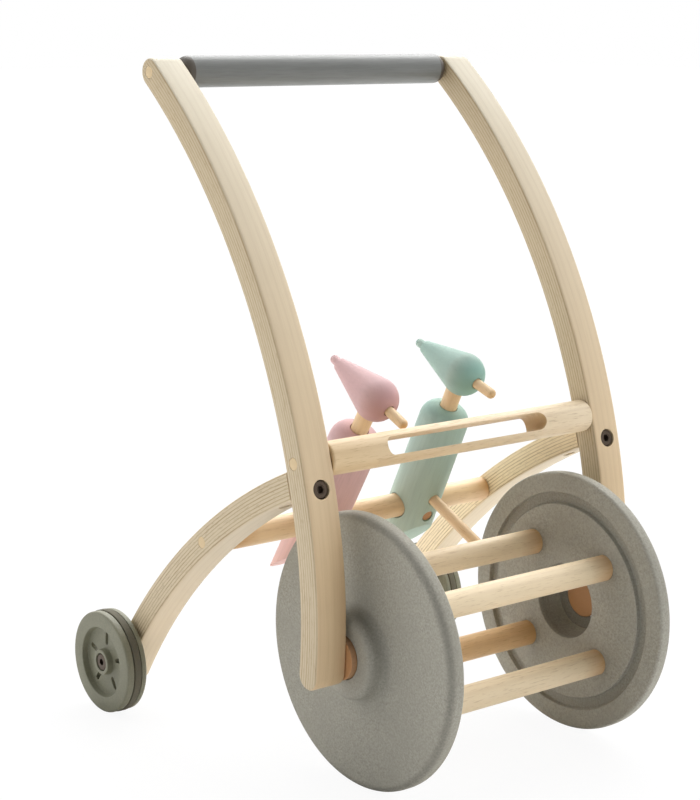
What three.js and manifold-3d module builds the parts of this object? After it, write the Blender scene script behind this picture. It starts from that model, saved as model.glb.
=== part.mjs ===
// Wooden push toy for a toddler, in millimetres, +Z up, +X the way it rolls, +Y its left side.
// Two bent plywood uprights and two bent rear legs carry a handlebar, a slotted tapping beam and a
// crossbar. Two birds rock on the crossbar: the dowels of the front drum lift the pegs in their
// bodies, and the beaks knock on the beam.

import * as THREE from 'three';
import { mergeVertices } from 'three/addons/utils/BufferGeometryUtils.js';
import Module from 'manifold-3d';

const wasm = await Module();
wasm.setup();

// Fits and cuts
const clearance = 0.3;
const runningClearance = 0.4;
const overrun = 3;
const degree = Math.PI / 180;

// Steps of the curved faces
const wheelSteps = 34;
const rimSteps = 24;
const barSteps = 22;
const dowelSteps = 16;
const pegSteps = 12;
const screwSteps = 8;
const hexSides = 6;
const capSteps = 6;
const roundingSteps = 2;
const filletSteps = 2;
const domeSteps = 3;

// Uprights
const uprightInnerFace = 113.5;
const uprightWidth = 23.2;
const uprightThickness = 18.1;
const boardRounding = 1.8;
const lowerBendRadius = 320;
const upperBendRadius = 463;
const bendChangeAngle = 11.3 * degree;
const handleLean = 51.8 * degree;
const bowRise = 20.8;
const footDrop = 7.6;
const lowerBendSteps = 5;
const upperBendSteps = 10;

// Rear legs
const legWidth = 22.6;
const legThickness = 17.8;
const legBendRadius = 466;
const legJointHeight = 202.4;
const legOverhang = 14;
const wheelbase = 216.3;
const legBendSteps = 9;

// Handlebar, tapping beam and rear crossbar
const handlebarRadius = 10.45;
const handlebarEndRounding = 7;
const beamRadius = 10.95;
const beamRise = 35;
const slotHalfLength = 69.3;
const slotHeight = 13.3;
const slotTilt = 24 * degree;
const crossbarRadius = 8.5;
const crossbarDrop = 59.5;
const grooveRadius = 7;
const endChamfer = 0.8;

// Wood screws under wood plugs
const plugRadius = 4;
const plugLength = 6;
const plugChamfer = 0.3;
const screwHeadRadius = 3.6;
const screwHeadHeight = 2.4;
const screwRadius = 2;
const screwReach = 30;
const screwPoint = 4;

// Frame bolts and barrel nuts
const boltDrop = 4.6;
const boltRadius = 3;
const boltHeadRadius = 5.8;
const boltHeadHeight = 4;
const boltRecess = 0.8;
const boltEndBeyondNut = 2.2;
const headChamfer = 0.5;
const hexSocketRadius = 2.3;
const hexSocketDepth = 2.2;
const nutSetback = 31;
const nutRadius = 4;
const nutLength = 10;

// Front wheels and the dowels between them
const frontWheelRadius = 90;
const bossGap = 4.1;
const bossHeight = 23.2;
const bossLipRadius = 24;
const bossLipRounding = 2.5;
const bossWaistRadius = 29.5;
const bossFillet = 4.5;
const treadWidth = 9.5;
const treadRounding = 3.5;
const treadBackRounding = 2;
const beadWidth = 5.5;
const beadStep = 2.2;
const dishDepth = 1.2;
const recessMouthRadius = 26;
const recessFloorRadius = 22.5;
const recessStraight = 5;
const hubWeb = 5.6;
const backGrooveRadius = 72.1;
const backGrooveWidth = 8.2;
const backGrooveDepth = 3;
const dowelRadius = 8.75;
const dowelPitchRadius = 47.9;
const dowelSocketDepth = 5.5;
const dowelBeforePeg = 9.2 * degree;
const dowelCount = 4;

// Stub axles
const stubRadius = 14.4;
const stubProud = 0.2;
const tenonRadius = 6;
const tenonLength = 12;

// Rear wheels
const rimRadius = 36;
const rubberProud = 0.4;
const rearWheelWidth = 15.6;
const hubSetback = 0.8;
const rimRounding = 1.5;
const rimInnerRadius = 25;
const rimBackRadius = 27;
const webSetback = 4.8;
const webThickness = 5;
const hubRadius = 9;
const rubberWidth = 5.2;
const rubberDepth = 2.6;
const rubberRounding = 0.5;
const rubberInset = 4.7;
const slotInnerRadius = 12;
const slotOuterRadius = 21.5;
const slotWidth = 3.6;
const slotTurn = 15 * degree;
const slotCount = 5;
const axleBoltHeadRadius = 6;
const axleBoltHeadHeight = 3.9;
const washerRadius = 7;
const washerThickness = 1;
const insertRadius = 5;
const insertLength = 12;

// Birds
const mintOffset = 47;
const pinkOffset = -38.7;
const beakGap = 2.6;
const mintTurnedBack = 6 * degree;
const bodyRadius = 18.04;
const bodyTaper = 0.0067;
const shoulderToHead = 28.9;
const shoulderRounding = 11;
const tailFrontRise = -8;
const tailTip = -62;
const neckRadius = 6;
const neckTenon = 12;
const headShortOfBeam = 10.9;
const headForward = 2.9;
const headRadius = 15;
const headTilt = 7.2 * degree;
const neckIntoHead = 8;
const coneLength = 43;
const coneEndRadius = 3.7;
const crestRadius = 3.1;
const crestLength = 8.8;
const beakRadius = 3.5;
const beakReach = 32.4;
const beakTenon = 6;
const pegRadius = 4;
const pegLift = 14.7;
const pegPastDowels = 3.9;
const pegTenon = 6;
const pinRadius = 4;
const pinRecess = 1;

// Place at a radius and an angle from +X towards +Z around a centre
const polar = (centre, radius, angle) => new THREE.Vector2(
  centre.x + radius * Math.cos(angle),
  centre.y + radius * Math.sin(angle),
);

// Arc without its last point, so that the next piece of the outline begins there
const arc = (centre, radius, from, to, steps) => Array.from(
  { length: steps },
  (_, i) => polar(centre, radius, from + (to - from) * i / steps),
);

// Centre of the arc from one point to another that lies to the left of the chord
const arcCentre = (from, to, radius) => {
  const chord = to.clone().sub(from);
  const rise = Math.sqrt(radius ** 2 - chord.lengthSq() / 4);
  const left = new THREE.Vector2(-chord.y, chord.x).normalize();
  return from.clone().add(to).divideScalar(2).addScaledVector(left, rise);
};

// Lines of the frame in the X-Z plane, the front axle at x = 0
const axleHeight = frontWheelRadius;
const rearAxleHeight = rimRadius + rubberProud;
const rearAxle = new THREE.Vector2(-wheelbase, rearAxleHeight);
const lowerBendCentre = new THREE.Vector2(
  -Math.sqrt(lowerBendRadius ** 2 - bowRise ** 2),
  axleHeight + bowRise,
);
const upperBendCentre = polar(lowerBendCentre, lowerBendRadius - upperBendRadius, bendChangeAngle);
const footAngle = -Math.asin((footDrop + bowRise) / lowerBendRadius);
const footCentre = polar(lowerBendCentre, lowerBendRadius, footAngle);
const handlebarCentre = polar(upperBendCentre, upperBendRadius, handleLean);
const leanAt = (height) => Math.asin((height - upperBendCentre.y) / upperBendRadius);
const uprightPoint = (height) => polar(upperBendCentre, upperBendRadius, leanAt(height));
const beamCentre = uprightPoint(2 * frontWheelRadius + beamRise);
const legJoint = polar(
  upperBendCentre,
  upperBendRadius - uprightThickness / 2,
  leanAt(legJointHeight),
);
const legCentre = arcCentre(legJoint, rearAxle, legBendRadius);
const legTopAngle = legJoint.clone().sub(legCentre).angle();
const legEndAngle = rearAxle.clone().sub(legCentre).angle() + legOverhang / legBendRadius;
const legFoot = polar(legCentre, legBendRadius, legEndAngle);
const crossbarCentre = polar(
  legCentre,
  legBendRadius,
  Math.PI - Math.asin((legJointHeight - crossbarDrop - legCentre.y) / legBendRadius),
);
const boltPoint = uprightPoint(legJointHeight - boltDrop);
const boltLean = leanAt(legJointHeight - boltDrop);


// Birds' heights, and the lean at which a beak's rounded end lies just above the beam
const birdLine = beamCentre.clone().sub(crossbarCentre);
const headLift = birdLine.length() - headShortOfBeam;
const bodyTop = headLift - shoulderToHead;
const beakEnd = polar(
  new THREE.Vector2(headForward, headLift),
  beakReach - beakRadius,
  headTilt,
);
const beakToBeam = beamRadius + beakRadius + beakGap;
const pinkLean = beakEnd.angle() - birdLine.angle() - Math.acos(
  (birdLine.lengthSq() + beakEnd.lengthSq() - beakToBeam ** 2)
    / (2 * birdLine.length() * beakEnd.length()),
);
const mintLean = pinkLean - mintTurnedBack;

// Pegs that reach in among the dowels, and the drum's turn with its second dowel before mint's peg
const frontAxle = new THREE.Vector2(0, axleHeight);
const pegReach = crossbarCentre.distanceTo(frontAxle) - dowelPitchRadius - dowelRadius
  + pegPastDowels;
const mintPegEnd = new THREE.Vector2(pegReach, pegLift)
  .rotateAround(new THREE.Vector2(), -mintLean).add(crossbarCentre).sub(frontAxle);
const dowelTurn = mintPegEnd.angle() - dowelBeforePeg - 2 * Math.PI / dowelCount;

// Faces across the toy, from its middle outwards
const uprightOuterFace = uprightInnerFace + uprightWidth;
const legInnerFace = uprightInnerFace + (uprightWidth - legWidth) / 2;
const legOuterFace = legInnerFace + legWidth;
const bossFace = uprightInnerFace - bossGap;
const wheelBack = bossFace - bossHeight;
const wheelFace = wheelBack + treadWidth;
const recessFloor = bossFace - hubWeb;
const stubEnd = recessFloor - stubProud;
const hubBack = legOuterFace + clearance + washerThickness + clearance;
const rimBack = hubBack + hubSetback;
const rimFace = rimBack + rearWheelWidth;
const webFace = rimFace - webSetback;
const webBack = webFace - webThickness;
const plugSeat = plugLength + clearance;
const screwSeat = plugSeat + screwHeadHeight + clearance;

// Geometry with its shared corners welded and its collapsed triangles left out
const welded = (geometry) => {
  geometry.deleteAttribute('normal');
  geometry.deleteAttribute('uv');
  const joined = mergeVertices(geometry);
  const corners = joined.index.array;
  const kept = [];
  for (let i = 0; i < corners.length; i += 3) {
    const [a, b, c] = corners.slice(i, i + 3);
    if (a !== b && b !== c && c !== a) kept.push(a, b, c);
  }
  joined.setIndex(kept);
  return joined;
};

// Closed geometry as a solid that can be cut
const solid = (geometry) => {
  const closed = welded(geometry);
  return new wasm.Manifold(new wasm.Mesh({
    numProp: 3,
    vertProperties: new Float32Array(closed.attributes.position.array),
    triVerts: new Uint32Array(closed.index.array),
  }));
};

// Geometry with every cutter taken away from it
const cut = (geometry, cutters) => {
  const body = cutters.reduce((rest, cutter) => rest.subtract(solid(cutter)), solid(geometry));
  const { vertProperties, triVerts } = body.getMesh();
  const result = new THREE.BufferGeometry();
  result.setAttribute('position', new THREE.BufferAttribute(vertProperties, 3));
  result.setIndex(new THREE.BufferAttribute(triVerts, 1));
  return result;
};

// Copy for the right side of a geometry of the left side
const mirrored = (geometry) => {
  const copy = geometry.clone().scale(1, -1, 1);
  const corners = Array.from(copy.index.array);
  copy.setIndex(corners.map((_, i) => corners[i - i % 3 + 2 - i % 3]));
  return copy;
};

// Turned piece about Y from a profile of radius and place along the axis
const turned = (profile, steps) => new THREE.LatheGeometry(
  profile.map(([radius, place]) => new THREE.Vector2(radius, place)),
  steps,
);

// Round bar about Y between two places
const rod = (radius, from, to, steps) => new THREE.CylinderGeometry(radius, radius, to - from, steps)
  .translate(0, (from + to) / 2, 0);

// Round bar about Y between two places with chamfered ends
const chamferedRod = (radius, from, to, chamfer, steps) => turned([
  [0, from],
  [radius - chamfer, from],
  [radius, from + chamfer],
  [radius, to - chamfer],
  [radius - chamfer, to],
  [0, to],
], steps);

// Quarter or other part of a circle in a profile, both ends included
const round = (radius, place, size, from, to, steps) => Array.from(
  { length: steps + 1 },
  (_, i) => {
    const angle = from + (to - from) * i / steps;
    return [radius + size * Math.cos(angle), place + size * Math.sin(angle)];
  },
);

// Board between two Y faces from an outline in X and Z, its long edges rounded
const board = (outline, innerFace, width, rounding) => new THREE.ExtrudeGeometry(outline, {
  depth: width - 2 * rounding,
  bevelThickness: rounding,
  bevelSize: rounding,
  bevelOffset: -rounding,
  bevelSegments: roundingSteps,
}).rotateX(Math.PI / 2).translate(0, innerFace + width - rounding, 0);

// Plain slab between two Y faces from an outline in X and Z
const slab = (outline, from, to) => new THREE.ExtrudeGeometry(outline, {
  depth: to - from,
  bevelEnabled: false,
}).rotateX(Math.PI / 2).translate(0, to, 0);

// Hole for a screw and its plug, from the outer face of a side board inwards
const screwHole = (place, outerFace, reach) => [
  rod(plugRadius + clearance, outerFace - screwSeat, outerFace + overrun, pegSteps),
  rod(screwRadius + clearance, outerFace - screwSeat - reach, outerFace - plugSeat, screwSteps),
].map((geometry) => geometry.translate(place.x, 0, place.y));

// Materials
const paint = (color, roughness, metalness) => () => new THREE.MeshStandardMaterial({
  color,
  roughness,
  metalness,
  flatShading: true,
});
const plywood = paint('#ddd0b4', 0.7, 0);
const beech = paint('#e3cfa9', 0.65, 0);
const peachWood = paint('#e0bd92', 0.65, 0);
const salmonWood = paint('#c49a78', 0.7, 0);
const grayPaint = paint('#8f8d85', 0.75, 0);
const grayGrip = paint('#8b8d8f', 0.6, 0);
const grayPlastic = paint('#83837a', 0.6, 0);
const rubber = paint('#6f6a6c', 0.9, 0);
const pinkPaint = paint('#d8a9a9', 0.7, 0);
const mintPaint = paint('#a9c4b8', 0.7, 0);
const bronze = paint('#4a3d34', 0.4, 0.9);
const steel = paint('#b4b4b2', 0.35, 1);

// Named mesh placed in its group
const add = (parent, name, geometry, material, x = 0, z = 0, turn = 0) => {
  const mesh = new THREE.Mesh(geometry.index ? geometry : welded(geometry), material());
  mesh.name = name;
  mesh.position.set(x, 0, z);
  mesh.rotation.y = turn;
  parent.add(mesh);
};

// The left and the right one of a pair
const addPair = (parent, name, geometry, material, x = 0, z = 0, turn = 0) => {
  const left = welded(geometry);
  add(parent, `left_${name}`, left, material, x, z, turn);
  add(parent, `right_${name}`, mirrored(left), material, x, z, turn);
};

// Outline of an upright, or of the room around it, from half its thickness
const uprightOutline = (half) => new THREE.Shape([
  ...arc(lowerBendCentre, lowerBendRadius + half, footAngle, bendChangeAngle, lowerBendSteps),
  ...arc(upperBendCentre, upperBendRadius + half, bendChangeAngle, handleLean, upperBendSteps),
  ...arc(handlebarCentre, half, handleLean, handleLean + Math.PI, capSteps),
  ...arc(upperBendCentre, upperBendRadius - half, handleLean, bendChangeAngle, upperBendSteps),
  ...arc(lowerBendCentre, lowerBendRadius - half, bendChangeAngle, footAngle, lowerBendSteps),
  ...arc(footCentre, half, footAngle + Math.PI, footAngle + 2 * Math.PI, capSteps),
]);

// Outline of a rear leg, its upper end run on into the upright that it is scribed to
const legOutline = () => {
  const half = legThickness / 2;
  const topAngle = legTopAngle - uprightThickness / 2 / legBendRadius;
  return new THREE.Shape([
    ...arc(legCentre, legBendRadius + half, topAngle, legEndAngle, legBendSteps),
    ...arc(legFoot, half, legEndAngle, legEndAngle + Math.PI, capSteps),
    ...arc(legCentre, legBendRadius - half, legEndAngle, topAngle, legBendSteps),
    polar(legCentre, legBendRadius - half, topAngle),
  ]);
};

// Bolt hole along the upright's normal: counterbore, shank and the cross hole of the barrel nut
const lieAlongX = (geometry) => geometry.rotateZ(-Math.PI / 2);
const alongBolt = (geometry) => geometry
  .rotateY(-boltLean)
  .translate(boltPoint.x, uprightInnerFace + uprightWidth / 2, boltPoint.y);
const boltFloor = uprightThickness / 2 - boltRecess - boltHeadHeight - clearance;
const boltEnd = -nutSetback - nutRadius - boltEndBeyondNut;
const counterboreRadius = boltHeadRadius + runningClearance;
const counterbore = () => alongBolt(lieAlongX(
  rod(counterboreRadius, boltFloor, uprightThickness / 2 + overrun, pegSteps),
));
const shankHole = () => alongBolt(lieAlongX(
  rod(boltRadius + clearance, boltEnd - clearance, uprightThickness / 2, screwSteps),
));
const nutHole = () => alongBolt(
  rod(nutRadius + clearance, -legThickness, nutLength / 2 + clearance, pegSteps)
    .rotateX(Math.PI / 2)
    .translate(-nutSetback, 0, 0),
);

// Uprights with the holes of the stub axle, the screws and the bolt
const makeUprights = (frame) => {
  const stubHole = rod(
    tenonRadius + clearance,
    uprightInnerFace - overrun,
    uprightInnerFace + tenonLength + clearance,
    pegSteps,
  ).translate(0, 0, axleHeight);
  const upright = cut(
    board(uprightOutline(uprightThickness / 2), uprightInnerFace, uprightWidth, boardRounding),
    [
      stubHole,
      ...screwHole(handlebarCentre, uprightOuterFace, uprightWidth),
      ...screwHole(beamCentre, uprightOuterFace, uprightWidth),
      counterbore(),
      shankHole(),
    ],
  );
  addPair(frame, 'upright', upright, plywood);
};

// Rear legs, scribed to the uprights, with the holes of the bolt, its nut, the crossbar's screw
// and the wheel's threaded insert
const makeRearLegs = (frame) => {
  const insertHole = rod(
    insertRadius + clearance,
    legOuterFace - insertLength - clearance,
    legOuterFace + overrun,
    pegSteps,
  ).translate(rearAxle.x, 0, rearAxle.y);
  const leg = cut(
    board(legOutline(), legInnerFace, legWidth, boardRounding),
    [
      slab(
        uprightOutline(uprightThickness / 2 + clearance),
        uprightInnerFace - overrun,
        uprightOuterFace + overrun,
      ),
      ...screwHole(crossbarCentre, legOuterFace, legWidth),
      shankHole(),
      nutHole(),
      insertHole,
    ],
  );
  addPair(frame, 'rear_leg', leg, plywood);
};

// Pilot holes for the screws in both ends of a bar
const pilotHoles = (end, reach) => [-1, 1].map((side) => rod(
  screwRadius + clearance,
  Math.min(side * (end - reach), side * (end + overrun)),
  Math.max(side * (end - reach), side * (end + overrun)),
  screwSteps,
));

// Handlebar with its rounded ends
const makeHandlebar = (frame) => {
  const end = uprightInnerFace - clearance;
  const flat = handlebarRadius - handlebarEndRounding;
  const domeStart = end - handlebarEndRounding;
  const quarter = Math.PI / 2;
  const bar = turned([
    [0, -end],
    ...round(flat, -domeStart, handlebarEndRounding, -quarter, 0, domeSteps),
    ...round(flat, domeStart, handlebarEndRounding, 0, quarter, domeSteps),
    [0, end],
  ], barSteps);
  const grip = cut(bar, pilotHoles(end, screwReach + clearance));
  add(frame, 'handlebar', grip, grayGrip, handlebarCentre.x, handlebarCentre.y);
};

// Tapping beam with the long slot that lets it ring
const makeTappingBeam = (frame) => {
  const end = uprightInnerFace - clearance;
  const half = slotHeight / 2;
  const straight = slotHalfLength - half;
  const slot = new THREE.Shape([
    ...arc(new THREE.Vector2(straight, 0), half, -Math.PI / 2, Math.PI / 2, capSteps),
    new THREE.Vector2(straight, half),
    ...arc(new THREE.Vector2(-straight, 0), half, Math.PI / 2, 3 * Math.PI / 2, capSteps),
    new THREE.Vector2(-straight, -half),
  ]);
  const reach = beamRadius + overrun;
  const slotCutter = slab(slot, -reach, reach).rotateZ(Math.PI / 2).rotateY(-slotTilt);
  const beam = cut(
    chamferedRod(beamRadius, -end, end, endChamfer, barSteps),
    [slotCutter, ...pilotHoles(end, screwReach + clearance)],
  );
  add(frame, 'tapping_beam', beam, beech, beamCentre.x, beamCentre.y);
};

// Rear crossbar with a turned groove for the retaining pin of each bird
const makeCrossbar = (frame) => {
  const end = legInnerFace - clearance;
  const half = pinRadius + 2 * clearance;
  const grooves = [pinkOffset, mintOffset].flatMap((offset) => [
    [crossbarRadius, offset - half],
    [grooveRadius, offset - half],
    [grooveRadius, offset + half],
    [crossbarRadius, offset + half],
  ]);
  const bar = turned([
    [0, -end],
    [crossbarRadius - endChamfer, -end],
    [crossbarRadius, -end + endChamfer],
    ...grooves,
    [crossbarRadius, end - endChamfer],
    [crossbarRadius - endChamfer, end],
    [0, end],
  ], barSteps);
  const crossbar = cut(bar, pilotHoles(end, screwReach + clearance));
  add(frame, 'rear_crossbar', crossbar, peachWood, crossbarCentre.x, crossbarCentre.y);
};

// Screw and plug at each end of the three bars
const makeScrews = (frame) => {
  const bars = [
    ['handlebar', handlebarCentre, uprightOuterFace, uprightInnerFace],
    ['beam', beamCentre, uprightOuterFace, uprightInnerFace],
    ['crossbar', crossbarCentre, legOuterFace, legInnerFace],
  ];
  for (const [name, place, outerFace, innerFace] of bars) {
    const headTop = outerFace - plugSeat;
    const headFoot = headTop - screwHeadHeight;
    const tip = innerFace - screwReach;
    const screw = turned([
      [0, tip],
      [screwRadius, tip + screwPoint],
      [screwRadius, headFoot],
      [screwHeadRadius, headFoot],
      [screwHeadRadius, headTop],
      [0, headTop],
    ], screwSteps);
    const plug = chamferedRod(plugRadius, outerFace - plugLength, outerFace, plugChamfer, pegSteps);
    addPair(frame, `${name}_screw`, screw, steel, place.x, place.y);
    addPair(frame, `${name}_plug`, plug, beech, place.x, place.y);
  }
};

// Bolt through each upright into a barrel nut in the leg behind it
const makeFrameBolts = (frame) => {
  const headTop = uprightThickness / 2 - boltRecess;
  const headFoot = headTop - boltHeadHeight;
  const socket = rod(hexSocketRadius, headTop - hexSocketDepth, headTop + overrun, hexSides);
  const bolt = cut(turned([
    [0, boltEnd],
    [boltRadius - headChamfer, boltEnd],
    [boltRadius, boltEnd + headChamfer],
    [boltRadius, headFoot],
    [boltHeadRadius, headFoot],
    [boltHeadRadius, headTop - headChamfer],
    [boltHeadRadius - headChamfer, headTop],
    [0, headTop],
  ], pegSteps), [socket]);
  const nut = cut(
    chamferedRod(nutRadius, -nutLength / 2, nutLength / 2, headChamfer, pegSteps),
    [rod(boltRadius + clearance, -nutRadius - overrun, nutRadius + overrun, screwSteps)
      .rotateZ(Math.PI / 2)],
  ).rotateX(Math.PI / 2).translate(-nutSetback, 0, 0);
  const middle = uprightInnerFace + uprightWidth / 2;
  const pieces = [['frame_bolt', lieAlongX(bolt)], ['barrel_nut', nut]];
  for (const [name, piece] of pieces) {
    const set = piece.translate(0, middle, 0);
    addPair(frame, name, set, bronze, boltPoint.x, boltPoint.y, -boltLean);
  }
};

// Stub axle with its tenon in each upright
const makeStubAxles = (frame) => {
  const shoulder = uprightInnerFace - clearance;
  const stub = turned([
    [0, stubEnd],
    [stubRadius - endChamfer, stubEnd],
    [stubRadius, stubEnd + endChamfer],
    [stubRadius, shoulder],
    [tenonRadius, shoulder],
    [tenonRadius, uprightInnerFace + tenonLength],
    [0, uprightInnerFace + tenonLength],
  ], barSteps);
  addPair(frame, 'stub_axle', stub, salmonWood, 0, axleHeight);
};

// Bolt, washer and threaded insert that hold each rear wheel
const makeRearAxles = (frame) => {
  const headFoot = webFace + clearance;
  const headTop = headFoot + axleBoltHeadHeight;
  const boltTip = legOuterFace - insertLength + headChamfer;
  const socket = rod(hexSocketRadius, headTop - hexSocketDepth, headTop + overrun, hexSides);
  const bolt = cut(turned([
    [0, boltTip],
    [boltRadius - headChamfer, boltTip],
    [boltRadius, boltTip + headChamfer],
    [boltRadius, headFoot],
    [axleBoltHeadRadius, headFoot],
    [axleBoltHeadRadius, headTop - headChamfer],
    [axleBoltHeadRadius - headChamfer, headTop],
    [0, headTop],
  ], pegSteps), [socket]);
  const ring = (radius, from, to) => turned([
    [boltRadius + clearance, from],
    [radius, from],
    [radius, to],
    [boltRadius + clearance, to],
    [boltRadius + clearance, from],
  ], pegSteps);
  const washerBack = legOuterFace + clearance;
  const pieces = [
    ['rear_axle_bolt', bolt, bronze],
    ['washer', ring(washerRadius, washerBack, washerBack + washerThickness), steel],
    ['threaded_insert', ring(insertRadius, legOuterFace - insertLength, legOuterFace), steel],
  ];
  for (const [name, piece, material] of pieces) {
    addPair(frame, name, piece, material, rearAxle.x, rearAxle.y);
  }
};

// Profile of a front wheel: tread, bead, dished face, boss with its bore, and the deep recess and
// groove of the back
const frontWheelProfile = () => {
  const quarter = Math.PI / 2;
  const radius = frontWheelRadius;
  const face = wheelFace - beadStep;
  const dish = face - dishDepth;
  const bore = stubRadius + runningClearance;
  const stepRadius = radius - beadWidth;
  const stepRun = beadStep / 3;
  const grooveIn = backGrooveRadius - backGrooveWidth / 2;
  const grooveOut = backGrooveRadius + backGrooveWidth / 2;
  return [
    [recessMouthRadius, wheelBack],
    [grooveIn, wheelBack],
    [grooveIn, wheelBack + backGrooveDepth],
    [grooveOut, wheelBack + backGrooveDepth],
    [grooveOut, wheelBack],
    ...round(radius - treadBackRounding, wheelBack + treadBackRounding, treadBackRounding,
      -quarter, 0, roundingSteps),
    ...round(radius - treadRounding, wheelFace - treadRounding, treadRounding,
      0, quarter, filletSteps),
    [stepRadius, wheelFace],
    [stepRadius - stepRun, face],
    [dowelPitchRadius + dowelRadius, dish],
    ...round(bossWaistRadius + bossFillet, dish + bossFillet, bossFillet,
      -quarter, -2 * quarter, filletSteps),
    ...round(bossLipRadius - bossLipRounding, bossFace - bossLipRounding, bossLipRounding,
      0, quarter, filletSteps),
    [bore, bossFace],
    [bore, recessFloor],
    [recessFloorRadius, recessFloor],
    [recessMouthRadius, wheelBack + recessStraight],
    [recessMouthRadius, wheelBack],
  ];
};

// Place in the X-Z plane of each dowel of the drum, about the axle
const dowelPlaces = Array.from({ length: dowelCount }, (_, i) => polar(
  new THREE.Vector2(),
  dowelPitchRadius,
  dowelTurn + i * 2 * Math.PI / dowelCount,
));

// Drum that rolls on the stub axles: two wheels and the dowels that are set into them
const makeDrum = (toy) => {
  const drum = new THREE.Group();
  drum.position.z = axleHeight;
  const sockets = dowelPlaces.map(({ x, y }) => rod(
    dowelRadius + clearance,
    wheelBack - overrun,
    wheelBack + dowelSocketDepth,
    dowelSteps,
  ).translate(x, 0, y));
  const wheel = cut(turned(frontWheelProfile(), wheelSteps), sockets);
  addPair(drum, 'front_wheel', wheel, grayPaint);
  const end = wheelBack + dowelSocketDepth - clearance;
  dowelPlaces.forEach(({ x, y }, i) => {
    add(drum, `drum_dowel_${i + 1}`, rod(dowelRadius, -end, end, dowelSteps), beech, x, y);
  });
  toy.add(drum);
};

// Rear wheel with its hub, slotted web and the channel of the rubber ring
const rearWheelGeometry = () => {
  const quarter = Math.PI / 2;
  const channelBack = rimBack + rubberInset - clearance;
  const channelFace = rimBack + rubberInset + rubberWidth + clearance;
  const channelRadius = rimRadius - rubberDepth - clearance;
  const bore = boltRadius + runningClearance;
  const headRoom = axleBoltHeadRadius + runningClearance;
  const profile = [
    [bore, hubBack],
    [hubRadius, hubBack],
    [hubRadius, webBack],
    [rimBackRadius, webBack],
    [rimBackRadius, rimBack],
    ...round(rimRadius - rimRounding, rimBack + rimRounding, rimRounding, -quarter, 0, roundingSteps),
    [rimRadius, channelBack],
    [channelRadius, channelBack],
    [channelRadius, channelFace],
    [rimRadius, channelFace],
    ...round(rimRadius - rimRounding, rimFace - rimRounding, rimRounding, 0, quarter, roundingSteps),
    [rimInnerRadius, rimFace],
    [rimInnerRadius, webFace],
    [hubRadius, webFace],
    [hubRadius, rimFace],
    [headRoom, rimFace],
    [headRoom, webFace],
    [bore, webFace],
    [bore, hubBack],
  ];
  const half = slotWidth / 2;
  const inner = new THREE.Vector2(slotInnerRadius + half, 0);
  const outer = new THREE.Vector2(slotOuterRadius - half, 0);
  const slot = new THREE.Shape([
    ...arc(outer, half, -quarter, quarter, filletSteps),
    new THREE.Vector2(outer.x, half),
    ...arc(inner, half, quarter, 3 * quarter, filletSteps),
    new THREE.Vector2(inner.x, -half),
  ]);
  const slots = Array.from({ length: slotCount }, (_, i) => slab(
    slot,
    webBack - overrun,
    webFace + overrun,
  ).rotateY(-slotTurn - i * 2 * Math.PI / slotCount));
  return cut(turned(profile, rimSteps), slots);
};

// Rear wheels, each with the rubber ring that it rolls on
const makeRearWheels = (toy) => {
  const wheels = new THREE.Group();
  wheels.position.set(rearAxle.x, 0, rearAxle.y);
  const quarter = Math.PI / 2;
  const inner = rimRadius - rubberDepth;
  const outer = rimRadius + rubberProud;
  const back = rimBack + rubberInset;
  const face = back + rubberWidth;
  const ring = turned([
    [inner, back],
    ...round(outer - rubberRounding, back + rubberRounding, rubberRounding, -quarter, 0, 1),
    ...round(outer - rubberRounding, face - rubberRounding, rubberRounding, 0, quarter, 1),
    [inner, face],
    [inner, back],
  ], rimSteps);
  addPair(wheels, 'rear_wheel', rearWheelGeometry(), grayPlastic);
  addPair(wheels, 'rubber_ring', ring, rubber);
  toy.add(wheels);
};

// Pieces of a bird stand along +Z of its own frame, the crossbar's axis at its origin
const standUp = (geometry) => geometry.rotateX(Math.PI / 2);
const bodyRadiusAt = (lift) => bodyRadius - bodyTaper * lift;

// Body with a slanting cut tail and its holes for the crossbar, pin, peg and neck
const birdBody = () => {
  const foot = tailTip - overrun;
  const shoulder = bodyTop - shoulderRounding;
  const reach = bodyRadiusAt(foot) + overrun;
  const slope = (tailFrontRise - tailTip) / (2 * bodyRadius);
  const below = new THREE.Shape([
    new THREE.Vector2(-reach, tailTip - slope * (reach - bodyRadius)),
    new THREE.Vector2(-reach, foot - reach),
    new THREE.Vector2(reach, foot - reach),
    new THREE.Vector2(reach, tailFrontRise + slope * (reach - bodyRadius)),
  ]);
  const trunk = standUp(turned([
    [0, foot],
    [bodyRadiusAt(foot), foot],
    ...round(bodyRadiusAt(shoulder) - shoulderRounding, shoulder, shoulderRounding,
      0, Math.PI / 2, domeSteps),
    [0, bodyTop],
  ], barSteps));
  return cut(trunk, [
    slab(below, -reach, reach),
    rod(crossbarRadius + runningClearance, -reach, reach, barSteps),
    lieAlongX(rod(pinRadius + clearance, 0, reach, pegSteps)),
    lieAlongX(rod(pegRadius + clearance, -pegTenon - clearance, reach, pegSteps))
      .translate(0, 0, pegLift),
    standUp(rod(
      neckRadius + clearance,
      bodyTop - neckTenon - clearance,
      bodyTop + overrun,
      pegSteps,
    )),
  ]);
};

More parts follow.
